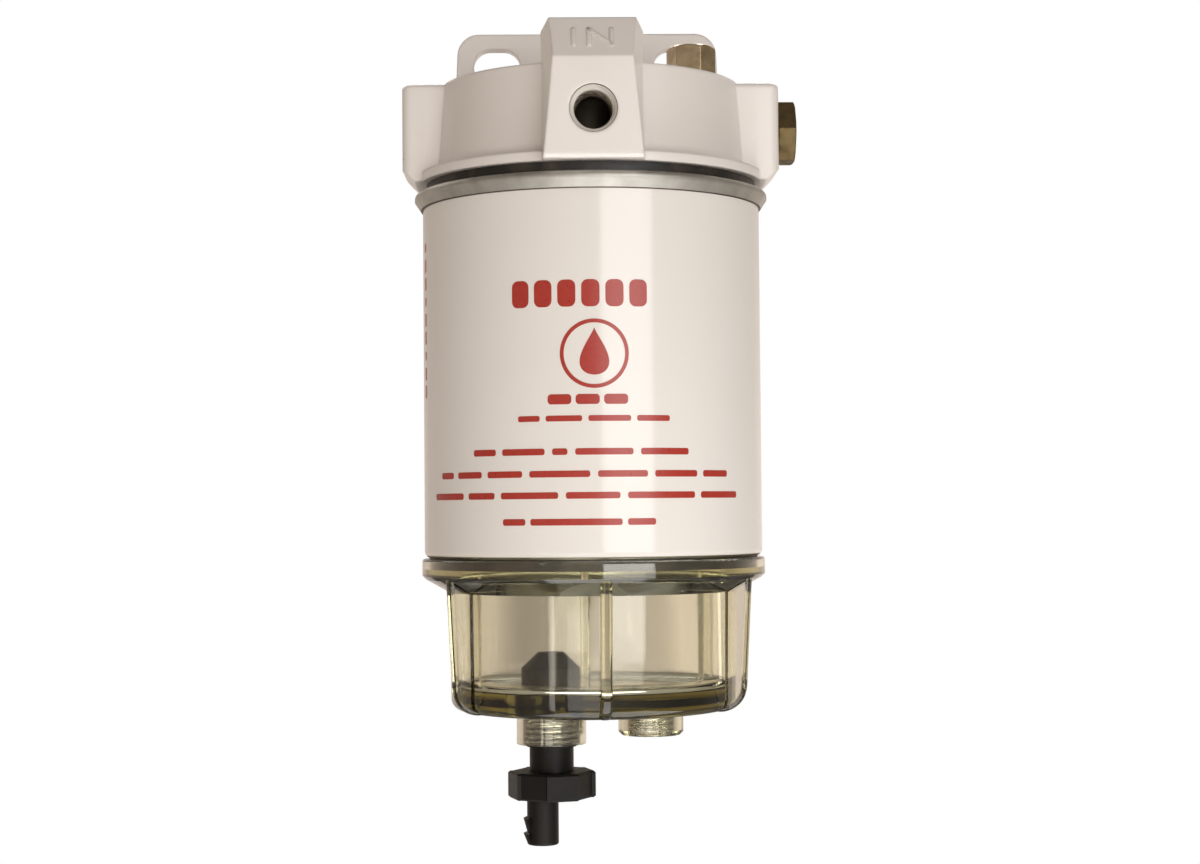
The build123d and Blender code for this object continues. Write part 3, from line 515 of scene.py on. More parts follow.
@dataclass(frozen=True)
class RolledZinc(Finish):
    """Hot-dip galvanised sheet, rolled into a seam or pressed.

    Rollers leave fine streaks round the axis, the zinc has soft grey clouds with a few dark
    marks, and a thin line where the seam meets the can is darkened as painted shadow of the gap.
    """

    name: str = "galvanised_sheet"
    colour: str = "D2CFC8"
    low_colour: str = "A9A59D"
    # colour of the dark marks, and of the painted shadow under the seam
    stain_and_gap_shadow: str = "5E564C"
    roughness: Pair = (0.38, 0.60)
    streak_mm: float = 0.35
    streak_depth_mm: float = 0.006
    streak_run_mm: float = 4.0  # a radian round the axis counts as this far
    cloud_mm: float = 5.0
    mark_mm: float = 3.2
    mark_span: Pair = (0.73, 0.80)  # noise at which a mark begins and is full
    gap_shadow_span: Pair = (-50.15, -50.35)  # heights at which the painted shadow of the gap under the seam begins and is full
    edge_mm: float = 0.9  # the rolled edge is round

    def build(self) -> Material:
        """Makes the material. The streaks' coordinates are angle, radius and height.

        Returns:
            The material.
        """
        mix = Recipe(self.name)
        centred = mix.put("Mapping", {"Vector": mix.place, "Location": (0.0, -AXIS_Y * MM, 0.0)})
        axes = mix.put("SeparateXYZ", {0: centred})
        flat = mix.put("VectorMath", {0: centred, 1: (1.0, 1.0, 0.0)}, operation="MULTIPLY")
        radius = mix.put("VectorMath", {0: flat}, operation="LENGTH")
        angle = mix.put("Math", {0: axes.outputs[1], 1: axes.outputs[0]}, operation="ARCTAN2")
        slow = mix.put("Math", {0: angle, 1: self.streak_run_mm * MM}, operation="MULTIPLY")
        run = mix.put("CombineXYZ", {0: slow, 1: radius, 2: axes.outputs[2]})
        edge = mix.put("Bevel", {"Radius": self.edge_mm * MM}, samples=6)
        streak, relief = mix.ripple(self.streak_mm, 2.0, self.streak_depth_mm, run, edge)
        low, high = self.roughness
        sheen = mix.put("MapRange", {"Value": streak, "To Min": low, "To Max": high})
        tone = mix.mottle(self.cloud_mm, 3.0, (self.colour, self.low_colour))[1]
        mark = mix.put("TexNoise", {"Vector": mix.place, "Scale": per_mm(self.mark_mm), "Detail": 4.0})
        start, full = self.mark_span
        dirt = mix.put("MapRange", {"Value": mark, "From Min": start, "From Max": full})
        # painted shadow: the lowest band of the seam, where it meets the can, is darkened
        start, full = (height * MM for height in self.gap_shadow_span)
        gap_shadow = mix.put("MapRange", {"Value": axes.outputs[2], "From Min": start, "From Max": full})
        both = mix.put("Math", {0: dirt, 1: gap_shadow}, operation="MAXIMUM")
        colour = mix.put("Mix", {"Factor": both, "A": tone, "B": srgb(self.stain_and_gap_shadow)}, data_type="RGBA")
        return mix.finished({"Base Color": colour, "Metallic": 1.0, "Roughness": sheen, "Normal": relief})


@dataclass(frozen=True)
class TurnedBrass(Finish):
    """Brass bar, hexagon drawn and faces turned, dulled by handling.

    Drawn flats carry fine lengthwise lines and a brown tarnish that gathers in clouds.
    """

    name: str = "turned_brass"
    colour: str = "7D6C4C"
    tarnish: str = "544632"
    roughness: Pair = (0.42, 0.70)
    along: Point = (0.12, 1.0, 1.0)  # stretches the drawn lines along X
    line_mm: float = 0.3
    line_depth_mm: float = 0.005
    cloud_mm: float = 4.0
    cloud_span: Point = (0.42, 0.70, 0.75)
    edge_mm: float = 0.5  # drawing rounds the corners, which catch the lamp

    def build(self) -> Material:
        """Makes the material.

        Returns:
            The material.
        """
        mix = Recipe(self.name)
        cloud, colour = mix.mottle(self.cloud_mm, 4.0, (self.colour, self.tarnish), self.cloud_span)
        low, high = self.roughness
        sheen = mix.put("MapRange", {"Value": cloud, "To Min": low, "To Max": high})
        drawn = mix.put("Mapping", {"Vector": mix.place, "Scale": self.along})
        edge = mix.put("Bevel", {"Radius": self.edge_mm * MM}, samples=6)
        relief = mix.ripple(self.line_mm, 3.0, self.line_depth_mm, drawn, edge)[1]
        return mix.finished({"Base Color": colour, "Metallic": 1.0, "Roughness": sheen, "Normal": relief})


@dataclass(frozen=True)
class BareAluminium(Finish):
    """Cast aluminium cut by a tap, brown with fuel; its first turns white with overspray and painted light,
    fading to painted shade deeper in.
    """

    name: str = "tapped_aluminium"
    colour: str = "A89C8E"
    low_colour: str = "7A6F63"
    # white of overspray and of painted light on the first turns
    overspray_and_light: str = "E9E2DA"
    roughness: Pair = (0.26, 0.50)
    cloud_mm: float = 1.5
    chatter_mm: float = 0.25
    chatter_depth_mm: float = 0.010
    mouths: Pair = (-101.5, -51.5)  # of the front port along Y, of the left along X
    reach_mm: float = 5.0  # how far in the overspray and painted light reach, fading to painted shade
    covered_mm: float = 1.4  # how far in it covers fully

    def build(self) -> Material:
        """Makes the material.

        Returns:
            The material.
        """
        mix = Recipe(self.name)
        cloud, metal = mix.mottle(self.cloud_mm, 3.0, (self.colour, self.low_colour))
        axes = mix.put("SeparateXYZ", {0: mix.place})
        # lighter at each mouth and darker deeper in: overspray and painted light at the mouth, painted shade
        # inside
        sprays_and_light = []
        for place, mouth in zip((axes.outputs[1], axes.outputs[0]), self.mouths):
            limits = {"From Min": (mouth + self.reach_mm) * MM, "From Max": (mouth + self.covered_mm) * MM}
            sprays_and_light.append(mix.put("MapRange", {"Value": place, **limits}))
        spray_and_light = mix.put("Math", {0: sprays_and_light[0], 1: sprays_and_light[1]}, operation="MAXIMUM")
        bare = mix.put("Math", {0: 1.0, 1: spray_and_light}, operation="SUBTRACT")
        colour = mix.put("Mix", {"Factor": spray_and_light, "A": metal, "B": srgb(self.overspray_and_light)}, data_type="RGBA")
        low, high = self.roughness
        sheen = mix.put("MapRange", {"Value": cloud, "To Min": low, "To Max": high})
        chatter = mix.ripple(self.chatter_mm, 2.0, self.chatter_depth_mm)[1]
        return mix.finished({"Base Color": colour, "Metallic": bare, "Roughness": sheen, "Normal": chatter})


@dataclass(frozen=True)
class Grained(Finish):
    """A clouded colour under one fine grain, which breaks up the gloss and the surface alike."""

    name: str
    colour: str
    bloom: str  # the clouds' colour
    cloud_mm: float
    grain_mm: float
    grain_depth_mm: float
    roughness: Pair
    cloud_span: Point | None = None
    grain_detail: float = 3.0
    lie: Point | None = None  # stretches the grain where less than one
    metallic: float = 0.0
    gloss: float = 0.5

    def build(self) -> Material:
        """Makes the material.

        Returns:
            The material.
        """
        mix = Recipe(self.name)
        colour = mix.mottle(self.cloud_mm, 3.0, (self.colour, self.bloom), self.cloud_span)[1]
        run = mix.put("Mapping", {"Vector": mix.place, "Scale": self.lie}) if self.lie else None
        grain, relief = mix.ripple(self.grain_mm, self.grain_detail, self.grain_depth_mm, run)
        low, high = self.roughness
        sheen = mix.put("MapRange", {"Value": grain, "To Min": low, "To Max": high})
        surface = {"Base Color": colour, "Metallic": self.metallic, "Roughness": sheen, "Normal": relief}
        return mix.finished({**surface, "Specular IOR Level": self.gloss})


@dataclass(frozen=True)
class ZincPlate(Grained):
    """Pressed or turned steel, zinc plated and passivated: cool grey with a pale yellow bloom."""

    name: str = "zinc_plated_steel"
    colour: str = "B4B5B4"
    bloom: str = "B9AE86"
    cloud_mm: float = 7.0
    grain_mm: float = 0.5
    grain_depth_mm: float = 0.005
    roughness: Pair = (0.22, 0.40)
    cloud_span: Point = (0.45, 0.75, 0.7)
    metallic: float = 1.0


@dataclass(frozen=True)
class NitrileRubber(Grained):
    """Moulded nitrile rubber: near black, dull, with a grey bloom where it was handled."""

    name: str = "moulded_nitrile_rubber"
    colour: str = "1A1713"
    bloom: str = "443A30"
    cloud_mm: float = 6.0
    grain_mm: float = 0.4
    grain_depth_mm: float = 0.010
    roughness: Pair = (0.36, 0.56)
    cloud_span: Point = (0.45, 0.80, 1.0)
    grain_detail: float = 2.0


@dataclass(frozen=True)
class BlackNylon(Grained):
    """Glass-filled black nylon, injection moulded: fibre-dull faces with soft broad highlights."""

    name: str = "moulded_black_nylon"
    colour: str = "0B0907"
    bloom: str = "17130F"
    cloud_mm: float = 5.0
    grain_mm: float = 0.35
    grain_depth_mm: float = 0.008
    roughness: Pair = (0.32, 0.54)
    lie: Point = (1.0, 1.0, 0.35)  # the fibres lie with the flow, upwards
    gloss: float = 0.22


@dataclass(frozen=True)
class ClearNylon(Finish):
    """Transparent nylon, injection moulded: fuel-yellowed, olive where it is thick.

    The colour is in the depth of the plastic, so 3 mm walls look pale tea and the 6 mm floor
    seen edge-on goes olive. Mould flow leaves very low waves and a faint haze in clouds. The
    lamps shine through it.
    """

    name: str = "clear_moulded_nylon"
    colour: str = "FBFAF4"
    depth_colour: str = "D2CC8E"
    depth: float = 72.0  # per metre
    through: str = "E8E0CC"  # what a wall lets through of a lamp's light
    roughness: Pair = (0.045, 0.095)
    ior: float = 1.54
    gloss: float = 0.8
    haze_mm: float = 9.0
    haze_start: float = 0.4  # noise at which the haze begins
    wave_mm: float = 6.0
    wave_depth_mm: float = 0.010

    def build(self) -> Material:
        """Makes the material.

        Returns:
            The material.
        """
        mix = Recipe(self.name)
        cloud = mix.put("TexNoise", {"Vector": mix.place, "Scale": per_mm(self.haze_mm), "Detail": 3.0})
        low, high = self.roughness
        limits = {"From Min": self.haze_start, "To Min": low, "To Max": high}
        haze = mix.put("MapRange", {"Value": cloud, **limits})
        wave = mix.ripple(self.wave_mm, 1.0, self.wave_depth_mm)[1]
        ray = mix.put("LightPath")
        pane = mix.put("BsdfTransparent", {0: srgb(self.through)})
        choice = mix.put("MixShader", {0: ray.outputs["Is Shadow Ray"], 1: mix.shader, 2: pane})
        tint = mix.put("VolumeAbsorption", {"Color": srgb(self.depth_colour), "Density": self.depth})
        mix.wire(mix.output, {"Surface": choice, "Volume": tint})
        surface = {"Base Color": srgb(self.colour), "Roughness": haze, "Normal": wave}
        clear = {"IOR": self.ior, "Specular IOR Level": self.gloss, "Transmission Weight": 1.0}
        return mix.finished({**surface, **clear})


@dataclass(frozen=True)
class FilterPaper(Finish):
    """Resin-treated cellulose filter paper: buff, matt, with fibres that lie every way."""

    name: str = "resin_filter_paper"
    colour: str = "C9B184"
    fibre: str = "A98D5E"
    roughness: float = 0.85
    fibre_mm: float = 0.5
    fibre_depth_mm: float = 0.03
    tangle: float = 1.5  # how far the fibres' noise is bent

    def build(self) -> Material:
        """Makes the material.

        Returns:
            The material.
        """
        mix = Recipe(self.name)
        fibre, colour = mix.mottle(self.fibre_mm, 4.0, (self.colour, self.fibre))
        mix.wire(fibre, {"Distortion": self.tangle})
        relief = mix.put("Bump", {"Height": fibre, "Distance": self.fibre_depth_mm * MM})
        return mix.finished({"Base Color": colour, "Roughness": self.roughness, "Normal": relief})


@dataclass(frozen=True)
class PrintInk(Finish):
    """Red screen ink, baked on the enamel: slightly uneven cover, less gloss than the enamel."""

    name: str = "screen_printed_ink"
    colour: str = "A8281E"
    thin: str = "B63C2E"
    roughness: Pair = (0.23, 0.38)
    cloud_mm: float = 1.2

    def build(self) -> Material:
        """Makes the material.

        Returns:
            The material.
        """
        mix = Recipe(self.name)
        cover, colour = mix.mottle(self.cloud_mm, 3.0, (self.colour, self.thin))
        low, high = self.roughness
        sheen = mix.put("MapRange", {"Value": cover, "To Min": low, "To Max": high})
        return mix.finished({"Base Color": colour, "Roughness": sheen})


class Dress(Enum):
    """The finishes of this object."""

    CASTING = PowderCoat()
    ENAMEL = GlossEnamel()
    SEAM = RolledZinc()
    PLATED = ZincPlate()
    PLUG = TurnedBrass()
    VENT = TurnedBrass("turned_brass_upright", "CDB997", "957F5E", (0.10, 0.38), (1.0, 1.0, 0.12))
    RUBBER = NitrileRubber()
    STEM = BlackNylon()
    BOWL = ClearNylon()
    PAPER = FilterPaper()
    INK = PrintInk()
    TAPPED = BareAluminium()


class Wardrobe:
    """Builds each finish once and dresses carried-over parts in it."""

    def __init__(self, nodes: dict[str, Object]) -> None:
        """Builds every finish."""
        self.nodes = nodes
        self.made = {dress: dress.value.build() for dress in Dress}

    def wear(self, dress: Dress, *names: str) -> None:
        """Gives carried-over parts a finish in every material slot.

        Args:
            dress: The finish.
            names: The parts.
        """
        for name in names:
            part = self.nodes[name]
            if not part.material_slots:
                part.data.materials.append(None)
            for slot in part.material_slots:
                slot.material = self.made[dress]
            log.info("part %s: %s", name, dress.value.name)


# Sub-assemblies


@dataclass
class Assembly(ABC):
    """Parts that belong together, with the pieces added to them."""

    wardrobe: Wardrobe

    @abstractmethod
    def build(self) -> None:
        """Dresses the parts and makes the pieces on them."""


@dataclass
class Head(Assembly):
    """Cast head with its tapped ports, raised port mark, plugs and gasket."""

    inlet: Point = (0.0, -101.5, -30.6)
    outlet: Point = (-51.5, AXIS_Y, -28.8)
    thread: Thread = Thread(6.06, 5.0, 6.35, 9.0, 1.411, 1.0)  # 18 to the inch, in a bore of 6.1
    thread_start: float = 1.0  # inside the mouth's chamfer
    slope: Slope = Slope((0.0, -101.5, -17.3), 33.0)
    mark_height: float = 0.38
    mark_stroke: float = 1.5
    mark_low: float = 3.0  # along the slope
    mark_high: float = 10.0
    mark_i: float = -4.9  # across the slope
    mark_n: Pair = (-0.95, 4.9)

    def build(self) -> None:
        """Dresses the head's parts and makes the pieces on it."""
        self.wardrobe.wear(Dress.CASTING, "head_casting")
        self.wardrobe.wear(Dress.PLUG, "port_plug")
        self.wardrobe.wear(Dress.VENT, "vent_plug")
        self.wardrobe.wear(Dress.PLATED, "centre_stud")
        self.wardrobe.wear(Dress.RUBBER, "vent_washer", "head_gasket")
        self.threads()
        self.port_mark()

    def threads(self) -> None:
        """Cuts the thread of the two open ports, as thin threaded sleeves in their bores."""
        runs = (
            ("inlet_thread", self.inlet, (0.0, 1.0, 0.0)),
            ("outlet_thread", self.outlet, (1.0, 0.0, 0.0)),
        )
        for name, mouth, along in runs:
            foot = tuple(np.array(mouth) + np.array(along) * self.thread_start)
            sleeve = self.thread.sleeve(name, foot, along)
            sleeve.make(self.wardrobe.made[Dress.TAPPED], "head", "white_casting")

    def port_mark(self) -> None:
        """Raises the word IN on the slope above the inlet, one drafted pad a stroke."""
        low, high = self.mark_low + self.mark_stroke / 2, self.mark_high - self.mark_stroke / 2
        left, right = self.mark_n
        strokes = (
            ((self.mark_i, low), (self.mark_i, high)),
            ((left, low), (left, high)),
            ((left, high), (right, low)),
            ((right, low), (right, high)),
        )
        skin = Skin("port_mark")
        for start, end in strokes:
            skin.add(self.slope.pad(bar_outline(start, end, self.mark_stroke), self.mark_height))
        skin.make(self.wardrobe.made[Dress.CASTING], "head", "white_casting", crease=60.0)


@dataclass(frozen=True)
class PrintRow:
    """A row of printed bars."""

    middle: float  # distance round the can from its front
    level: float
    height: float
    gap: float
    lengths: tuple[float, ...]


@dataclass
class Can(Assembly):
    """Painted can with its seam, its insides and the plain shapes printed on it."""

    radius: float = 46.5
    ink: float = 0.035  # thickness of the print
    turn: float = -1.0  # degrees the print stands round from the filter's front
    facet: float = 1.4  # greatest distance between points across a shape
    rows: tuple[PrintRow, ...] = (
        PrintRow(-3.4, -77.5, 7.0, 1.5, (4.7,) * 6),
        PrintRow(-1.2, -104.7, 2.6, 1.1, (6.2, 6.2, 6.2)),
        PrintRow(0.4, -109.6, 1.5, 1.6, (6.0, 9.5, 11.0, 9.0)),
        PrintRow(-3.9, -118.1, 1.7, 2.0, (7.4, 12.0, 4.0, 15.0, 13.6)),
        PrintRow(-4.2, -123.8, 1.7, 2.0, (6.0, 9.0, 10.5, 16.0, 13.0, 12.5, 9.0)),
        PrintRow(-4.0, -129.3, 1.7, 2.0, (14.0, 9.0, 16.0, 14.0, 19.0, 14.0)),
        PrintRow(-4.0, -136.1, 1.7, 1.4, (6.5, 24.0, 7.5)),
    )
    row_corner: float = 0.35  # a bar's corner, as a share of its smaller side
    badge: float = 0.6  # middle of the ring and the drop in it, round the can
    ring_level: float = -93.0
    ring_radii: Pair = (8.9, 7.9)
    drop_level: float = -92.4
    drop_size: Pair = (7.6, 12.2)
    side: float = -61.6  # place of the upright column of marks, round the can
    side_top: float = -61.5
    side_step: float = 4.9
    side_marks: int = 9
    side_width: float = 1.9
    side_heights: Point = (2.4, 3.6, 3.6)  # repeated down the column
    side_corner: float = 0.6

    def build(self) -> None:
        """Dresses the can's parts and prints it."""
        self.wardrobe.wear(Dress.ENAMEL, "can_shell")
        self.wardrobe.wear(Dress.SEAM, "can_lid", "bowl_thread_ring")
        pressed = ("tapping_plate", "upper_end_cap", "lower_end_cap", "centre_tube", "element_support")
        self.wardrobe.wear(Dress.PLATED, *pressed)
        self.wardrobe.wear(Dress.RUBBER, "element_grommet")
        self.wardrobe.wear(Dress.PAPER, "pleated_media")
        self.print_shapes()

    def wrap(self, across: np.ndarray, level: np.ndarray, lift: float) -> np.ndarray:
        """Lays flat points round the can: angle = distance across / radius.

        Args:
            across: Distance round the can from its front.
            level: Height.
            lift: Distance out from the paint.

        Returns:
            Points with a last axis of 3.
        """
        angle = across / self.radius + math.radians(self.turn)
        reach = self.radius + lift
        return np.stack((reach * np.sin(angle), AXIS_Y - reach * np.cos(angle), level), -1)

    def patch(self, left: np.ndarray, right: np.ndarray, level: np.ndarray) -> np.ndarray:
        """A printed shape given by its left and right edges at each level.

        Points across a row are left + (right - left) x share. The row runs out over the
        shape's face and comes back under the paint's surface.

        Args:
            left: The left edge at each level.
            right: The right edge.
            level: The levels.

        Returns:
            Rings for Ends.CAPPED, one for each level.
        """
        share = np.linspace(0.0, 1.0, max(3, int((right - left).max() / self.facet) + 2))
        row = left[:, None] + (right - left)[:, None] * share
        height = np.repeat(level[:, None], len(share), 1)
        face = self.wrap(row, height, self.ink)
        under = self.wrap(row, height, -self.ink)[:, ::-1]
        return np.concatenate((face, under), 1)

    def bar(self, centre: float, level: float, width: float, height: float, corner: float) -> np.ndarray:
        """A printed bar with rounded corners: half width less the corner's own circle.

        Args:
            centre: Its middle round the can.
            level: Height of its middle.
            width: Its width.
            height: Its height.
            corner: Radius of its corners.

        Returns:
            Rings for Ends.CAPPED.
        """
        rows = np.sin(np.linspace(-1.0, 1.0, 13) * np.pi / 2) * height / 2
        over = np.clip(np.abs(rows) - (height / 2 - corner), 0.0, corner)
        half = width / 2 - corner + np.sqrt(np.maximum(corner**2 - over**2, 0.0))
        return self.patch(centre - half, centre + half, level + rows)

    def drop(self) -> np.ndarray:
        """A fuel drop: half width = sin(t) x sin(t / 2) to the power 1.6, height = cos(t).

        Returns:
            Rings for Ends.CAPPED.
        """
        width, height = self.drop_size
        t = np.linspace(0.06, np.pi - 0.06, 40)[::-1]
        shape = np.sin(t) * np.sin(t / 2) ** 1.6
        half = shape / shape.max() * width / 2
        return self.patch(self.badge - half, self.badge + half, self.drop_level + np.cos(t) * height / 2)

    def ring(self) -> np.ndarray:
        """A ring round the drop, as sections from edge to edge carried round its centre.

        Returns:
            Rings for Ends.JOINED.
        """
        outer, inner = self.ring_radii
        turn = np.linspace(0.0, 2 * np.pi, 72, endpoint=False)[:, None]
        radii = np.array([[outer, inner, inner, outer]])
        across, height = self.badge + np.cos(turn) * radii, self.ring_level + np.sin(turn) * radii
        face = self.wrap(across[:, :2], height[:, :2], self.ink)
        under = self.wrap(across[:, 2:], height[:, 2:], -self.ink)
        return np.concatenate((face, under), 1)

    def print_shapes(self) -> None:
        """Prints plain red fields: rows of bars, a drop in a ring, and a column of marks."""
        skin = Skin("can_print")
        for row in self.rows:
            at = row.middle - (sum(row.lengths) + row.gap * (len(row.lengths) - 1)) / 2
            for length in row.lengths:
                corner = min(row.height, length) * self.row_corner
                skin.add(self.bar(at + length / 2, row.level, length, row.height, corner))
                at += length + row.gap
            if row is self.rows[0]:
                skin.add(self.ring(), Ends.JOINED)
                skin.add(self.drop())
        for count in range(self.side_marks):
            level, height = self.side_top - self.side_step * count, self.side_heights[count % 3]
            skin.add(self.bar(self.side, level, self.side_width, height, self.side_corner))
        skin.make(self.wardrobe.made[Dress.INK], "can", "white_can")


@dataclass
class Bowl(Assembly):
    """Clear bowl with its tapped bosses, and the gasket in its collar.

    The bosses' bores are 7.8 and 6.4. A sleeve's back stands 0.03 inside its bore.
    """

    bosses: tuple[tuple[str, Point, Thread], ...] = (
        ("drain_boss_thread", (*DRAIN_AXIS, -196.35), Thread(7.72, 6.95, 7.77, 7.6, 1.5, 0.6)),
        ("sensor_boss_thread", (15.638, -44.931, -195.45), Thread(6.32, 5.6, 6.37, 6.8, 1.5, 0.6)),
    )

    def build(self) -> None:
        """Dresses the bowl's parts and cuts its bosses' threads, as clear threaded sleeves."""
        self.wardrobe.wear(Dress.BOWL, "bowl")
        self.wardrobe.wear(Dress.RUBBER, "bowl_gasket")
        for name, foot, thread in self.bosses:
            sleeve = thread.sleeve(name, foot, UPRIGHT)
            sleeve.make(self.wardrobe.made[Dress.BOWL], "bowl", "clear_plastic")


@dataclass
class DrainValve(Assembly):
    """Moulded drain valve with its threaded collar, cap and rings."""

    foot: Point = (*DRAIN_AXIS, -197.1)  # half a pitch off the boss thread
    thread: Thread = Thread(6.82, 7.6, 6.5, 4.4, 1.5, 0.7)  # on a collar of 6.8

    def build(self) -> None:
        """Dresses the valve's parts and threads its collar."""
        self.wardrobe.wear(Dress.STEM, "drain_stem", "drain_cap")
        self.wardrobe.wear(Dress.RUBBER, "drain_stem_ring", "drain_seat_ring")
        sleeve = self.thread.sleeve("drain_thread", self.foot, UPRIGHT)
        sleeve.make(self.wardrobe.made[Dress.STEM], "drain", "black_plastic")


# Studio


@dataclass(frozen=True)
class Room:
    """The room that lights the filter from all round, its colours as linear values."""

    front: Colour = (0.62, 0.57, 0.51, 1.0)
    back: Colour = (1.0, 0.865, 0.77, 1.0)
    left: Colour = (0.45, 0.365, 0.305, 1.0)
    right: Colour = (0.33, 0.30, 0.26, 1.0)
    ceiling: Colour = (0.20, 0.18, 0.155, 1.0)
    depth: Pair = (-0.7, 0.7)  # a direction's y, from the front's colour to the back's
    breadth: Pair = (-0.2, 0.2)  # its x, from the left's colour to the right's
    height: Pair = (0.02, 0.4)  # its z, from the walls' colour to the ceiling's
    back_light: tuple[Pair, ...] = (
        (-0.125, 0.78), (-0.105, 0.74), (-0.090, 0.61), (-0.080, 0.55), (-0.063, 0.41),
        (-0.051, 0.36), (-0.033, 0.38), (-0.018, 0.40), (-0.003, 0.42), (0.021, 0.55),
        (0.075, 0.63), (0.094, 0.76), (0.109, 0.97), (0.200, 1.00), (0.500, 1.15),
    )  # how bright the back wall is, by a direction's x


@dataclass(frozen=True)
class Softbox:
    """An upright rectangular lamp that faces the filter."""

    name: str
    bearing: float  # degrees to the right of the front
    distance: float  # from the axis
    span: Pair  # heights of its lower and upper edges
    width: float
    radiance: float
    colour: str


@dataclass
class Studio:
    """Pale floor, soft lamps and the camera at the photograph's viewing angle."""

    eye: Point = (-10.45, -646.5, -132.73)
    yaw: float = 1.2  # degrees
    pitch: float = 2.037
    roll: float = 0.0085  # radians
    lens: float = 64.63
    sensor: float = 36.0
    floor_level: float = -600.0
    floor_radius: float = 1300.0
    floor_grid: tuple[int, int] = (12, 96)  # rings, and points in each
    floor_paint: str = "DCDAD6"
    floor_roughness: float = 0.9
    room: Room = Room()
    softboxes: tuple[Softbox, ...] = (
        Softbox("key_softbox", 22.0, 1000.0, (-265.0, 175.0), 600.0, 4.1, "FFFFFF"),
        Softbox("low_softbox", -9.0, 1000.0, (-560.0, -230.0), 450.0, 1.7, "FFF7EC"),
        Softbox("strip_softbox", -34.0, 1000.0, (-560.0, -200.0), 80.0, 3.2, "FFF7EC"),
        Softbox("back_left_softbox", 215.0, 1000.0, (380.0, 880.0), 700.0, 1.9, "FFF6EC"),
        Softbox("back_right_softbox", 145.0, 1000.0, (380.0, 880.0), 700.0, 1.9, "FFF6EC"),
        Softbox("high_back_softbox", 180.0, 850.0, (500.0, 1300.0), 1000.0, 5.4, "F3F8FF"),
    )
    card_size: Pair = (270.0, 200.0)
    card_middle: Point = (48.0, -175.0, -328.0)
    card_turn: Point = (math.pi, 0.0, 0.0)  # it faces up
    card_radiance: float = 2.8

    def build(self) -> None:
        """Sets floor, surroundings, lamps and camera."""
        self.floor()
        self.surroundings()
        for box in self.softboxes:
            self.hang(box)
        # a card before the filter's foot throws light up under its seams
        card = ("bounce_card", self.card_size, self.card_radiance, "FFFFFF")
        self.lamp(*card, self.card_middle, self.card_turn)
        self.camera()

    def floor(self) -> None:
        """Lays a round floor: distance from the middle x direction, one face between rings.

        The camera sees it white, and everything else sees its paint.
        """
        rings, around = self.floor_grid
        radius = np.linspace(1.0, self.floor_radius, rings)[:, None]
        turn = np.linspace(0.0, 2 * np.pi, around, endpoint=False)
        level = np.full((rings, around), self.floor_level)
        points = np.stack((radius * np.cos(turn), AXIS_Y + radius * np.sin(turn), level), -1)
        index = np.arange(rings * around).reshape(rings, around)
        quads = np.stack((index[:-1], index[1:], np.roll(index[1:], -1, 1), np.roll(index[:-1], -1, 1)), -1)
        faces = quads.reshape(-1, 4).tolist() + [index[0].tolist()]
        mesh = bpy.data.meshes.new("floor")
        mesh.from_pydata((points.reshape(-1, 3) * MM).tolist(), [], faces)
        mix = Recipe("pale_floor_paint")
        glow = mix.put("Emission", {0: WHITE, 1: 1.0})
        ray = mix.put("LightPath")
        blend = mix.put("MixShader", {0: ray.outputs["Is Camera Ray"], 1: mix.shader, 2: glow})
        mix.wire(mix.output, {"Surface": blend})
        paint = {"Base Color": srgb(self.floor_paint), "Roughness": self.floor_roughness}
        mesh.materials.append(mix.finished(paint))
        floor = bpy.data.objects.new("floor", mesh)
        bpy.context.scene.collection.objects.link(floor)

    def surroundings(self) -> None:
        """White backdrop for the eye, and a warm grey room for light and reflections.

        The room's colour goes from front to back with a direction's y, to the sides with the
        square of its x, and to the dim ceiling with its z.
        """
        world = bpy.data.worlds.new("studio")
        bpy.context.scene.world = world
        mix = NodeTree(world)
        x, y, z = mix.put("SeparateXYZ", {0: mix.put("TexCoord").outputs["Generated"]}).outputs
        shares = []
        for place, (start, full) in ((y, self.room.depth), (x, self.room.breadth), (z, self.room.height)):
            shares.append(mix.put("MapRange", {"Value": place, "From Min": start, "From Max": full}))
        backwards, rightwards, upwards = shares
        sideways = mix.put("Math", {0: x, 1: x}, operation="MULTIPLY")
        ends = {"A": self.room.left, "B": self.room.right}
        sides = mix.put("Mix", {"Factor": rightwards, **ends}, data_type="RGBA")
        eye = mix.put("LightPath").outputs["Is Camera Ray"]
        layers = (
            (backwards, self.back_wall(mix, x)),
            (sideways, sides),
            (upwards, self.room.ceiling),
            (eye, WHITE),
        )
        seen = self.room.front
        for share, other in layers:
            seen = mix.put("Mix", {"Factor": share, "A": seen, "B": other}, data_type="RGBA")
        mix.put("OutputWorld", {0: mix.put("Background", {0: seen})})

    def back_wall(self, mix: NodeTree, x: NodeSocket) -> Node:
        """Colour of the wall behind the filter, lit unevenly along a direction's x.

        Args:
            mix: The world's nodes.
            x: The direction's x.

        Returns:
            The colour.
        """
        low, high = self.room.back_light[0][0], self.room.back_light[-1][0]
        along = mix.put("MapRange", {"Value": x, "From Min": low, "From Max": high})
        ramp = mix.put("ValToRGB", {0: along})
        stops = ramp.color_ramp.elements
        while len(stops) > 1:
            stops.remove(stops[-1])
        for count, (place, light) in enumerate(self.room.back_light):
            share = (place - low) / (high - low)
            stop = stops.new(share) if count else stops[0]
            stop.position = share
            stop.color = (light, light, light, 1.0)
        both = {"Factor": 1.0, "A": self.room.back, "B": ramp}
        return mix.put("Mix", both, data_type="RGBA", blend_type="MULTIPLY")

    def hang(self, box: Softbox) -> None:
        """Hangs a softbox on its bearing, turned to the filter's axis.

        Args:
            box: The softbox.
        """
        bearing = math.radians(box.bearing)
        low, high = box.span
        ahead = AXIS_Y - box.distance * math.cos(bearing)
        place = (box.distance * math.sin(bearing), ahead, (low + high) / 2)
        turn = (math.pi / 2, 0.0, bearing)
        self.lamp(box.name, (box.width, high - low), box.radiance, box.colour, place, turn)

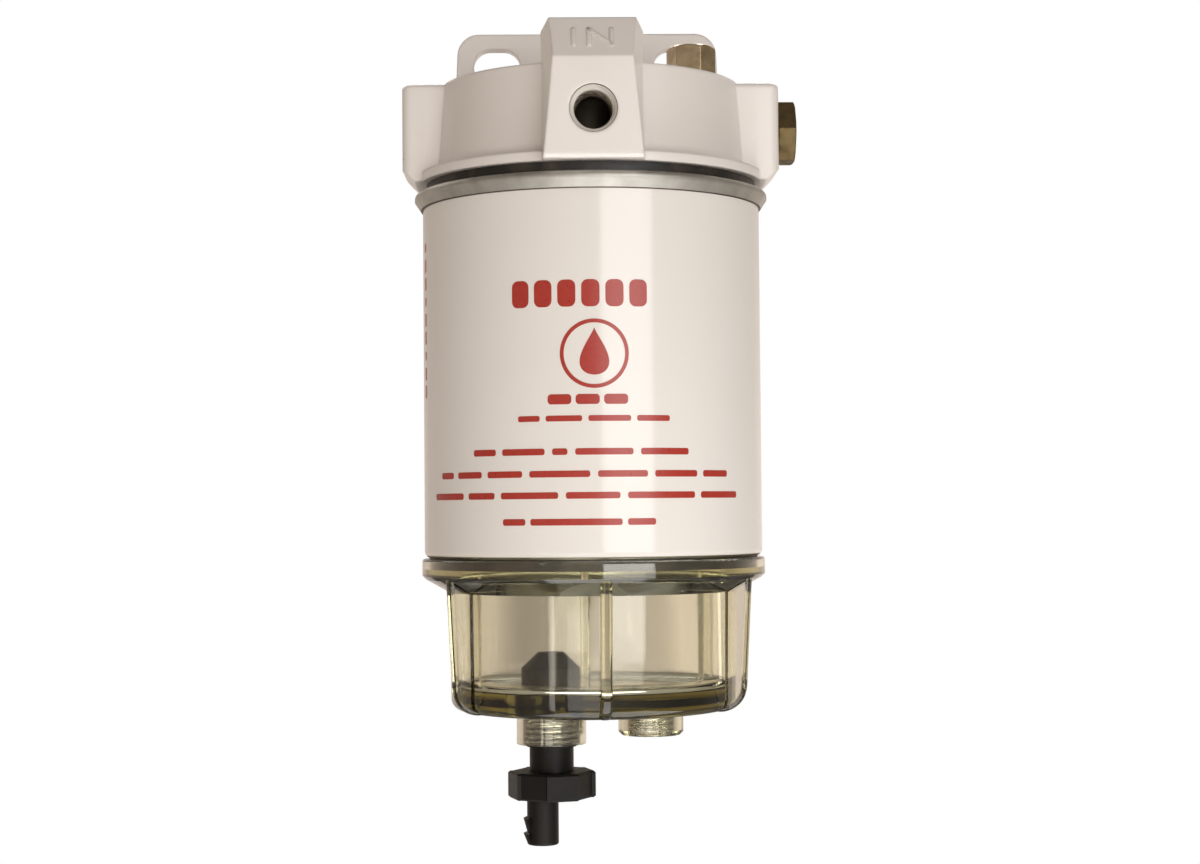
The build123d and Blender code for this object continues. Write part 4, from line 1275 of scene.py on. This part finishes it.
    def lamp(self, name: str, size: Pair, radiance: float, colour: str, place: Point, turn: Point) -> None:
        """Makes a rectangular lamp.

        Args:
            name: Its name.
            size: Its width and height.
            radiance: Brightness of its face, where a white backdrop is 1.
            colour: Its colour.
            place: Its middle.
            turn: How it is turned from facing down, in radians about X, Y and Z.
        """
        light = bpy.data.lights.new(name, "AREA")
        light.shape = "RECTANGLE"
        light.size, light.size_y = size[0] * MM, size[1] * MM
        light.energy = radiance * math.pi * light.size * light.size_y
        light.color = srgb(colour)[:3]
        stood = bpy.data.objects.new(name, light)
        stood.location = [value * MM for value in place]
        stood.rotation_euler = turn
        bpy.context.scene.collection.objects.link(stood)

    def camera(self) -> None:
        """Sets the camera from its eye point, yaw, pitch and roll."""
        yaw, pitch = math.radians(self.yaw), math.radians(self.pitch)
        ahead = np.array((math.sin(yaw) * math.cos(pitch), math.cos(yaw) * math.cos(pitch), math.sin(pitch)))
        right = np.array((math.cos(yaw), -math.sin(yaw), 0.0))
        up = np.cross(right, ahead)
        matrix = np.eye(4)
        matrix[:3, 0] = right * math.cos(self.roll) - up * math.sin(self.roll)
        matrix[:3, 1] = up * math.cos(self.roll) + right * math.sin(self.roll)
        matrix[:3, 2] = -ahead
        matrix[:3, 3] = np.array(self.eye) * MM
        data = bpy.data.cameras.new("camera")
        data.lens, data.sensor_width = self.lens, self.sensor
        data.clip_start, data.clip_end = 0.01, 20.0
        camera = bpy.data.objects.new("camera", data)
        camera.matrix_world = Matrix(matrix.tolist())
        bpy.context.scene.collection.objects.link(camera)
        bpy.context.scene.camera = camera
        bpy.context.scene.view_settings.view_transform = "Standard"


def main() -> None:
    """Builds the filter's looks over its frame."""
    logging.basicConfig(level=logging.INFO, format="%(name)s: %(message)s")
    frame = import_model()
    wardrobe = Wardrobe(frame["nodes"])
    for kind in (Head, Can, Bowl, DrainValve):
        kind(wardrobe).build()
        log.info("%s is built", kind.__name__)
    Studio().build()
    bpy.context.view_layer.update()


if __name__ == "__main__":
    main()
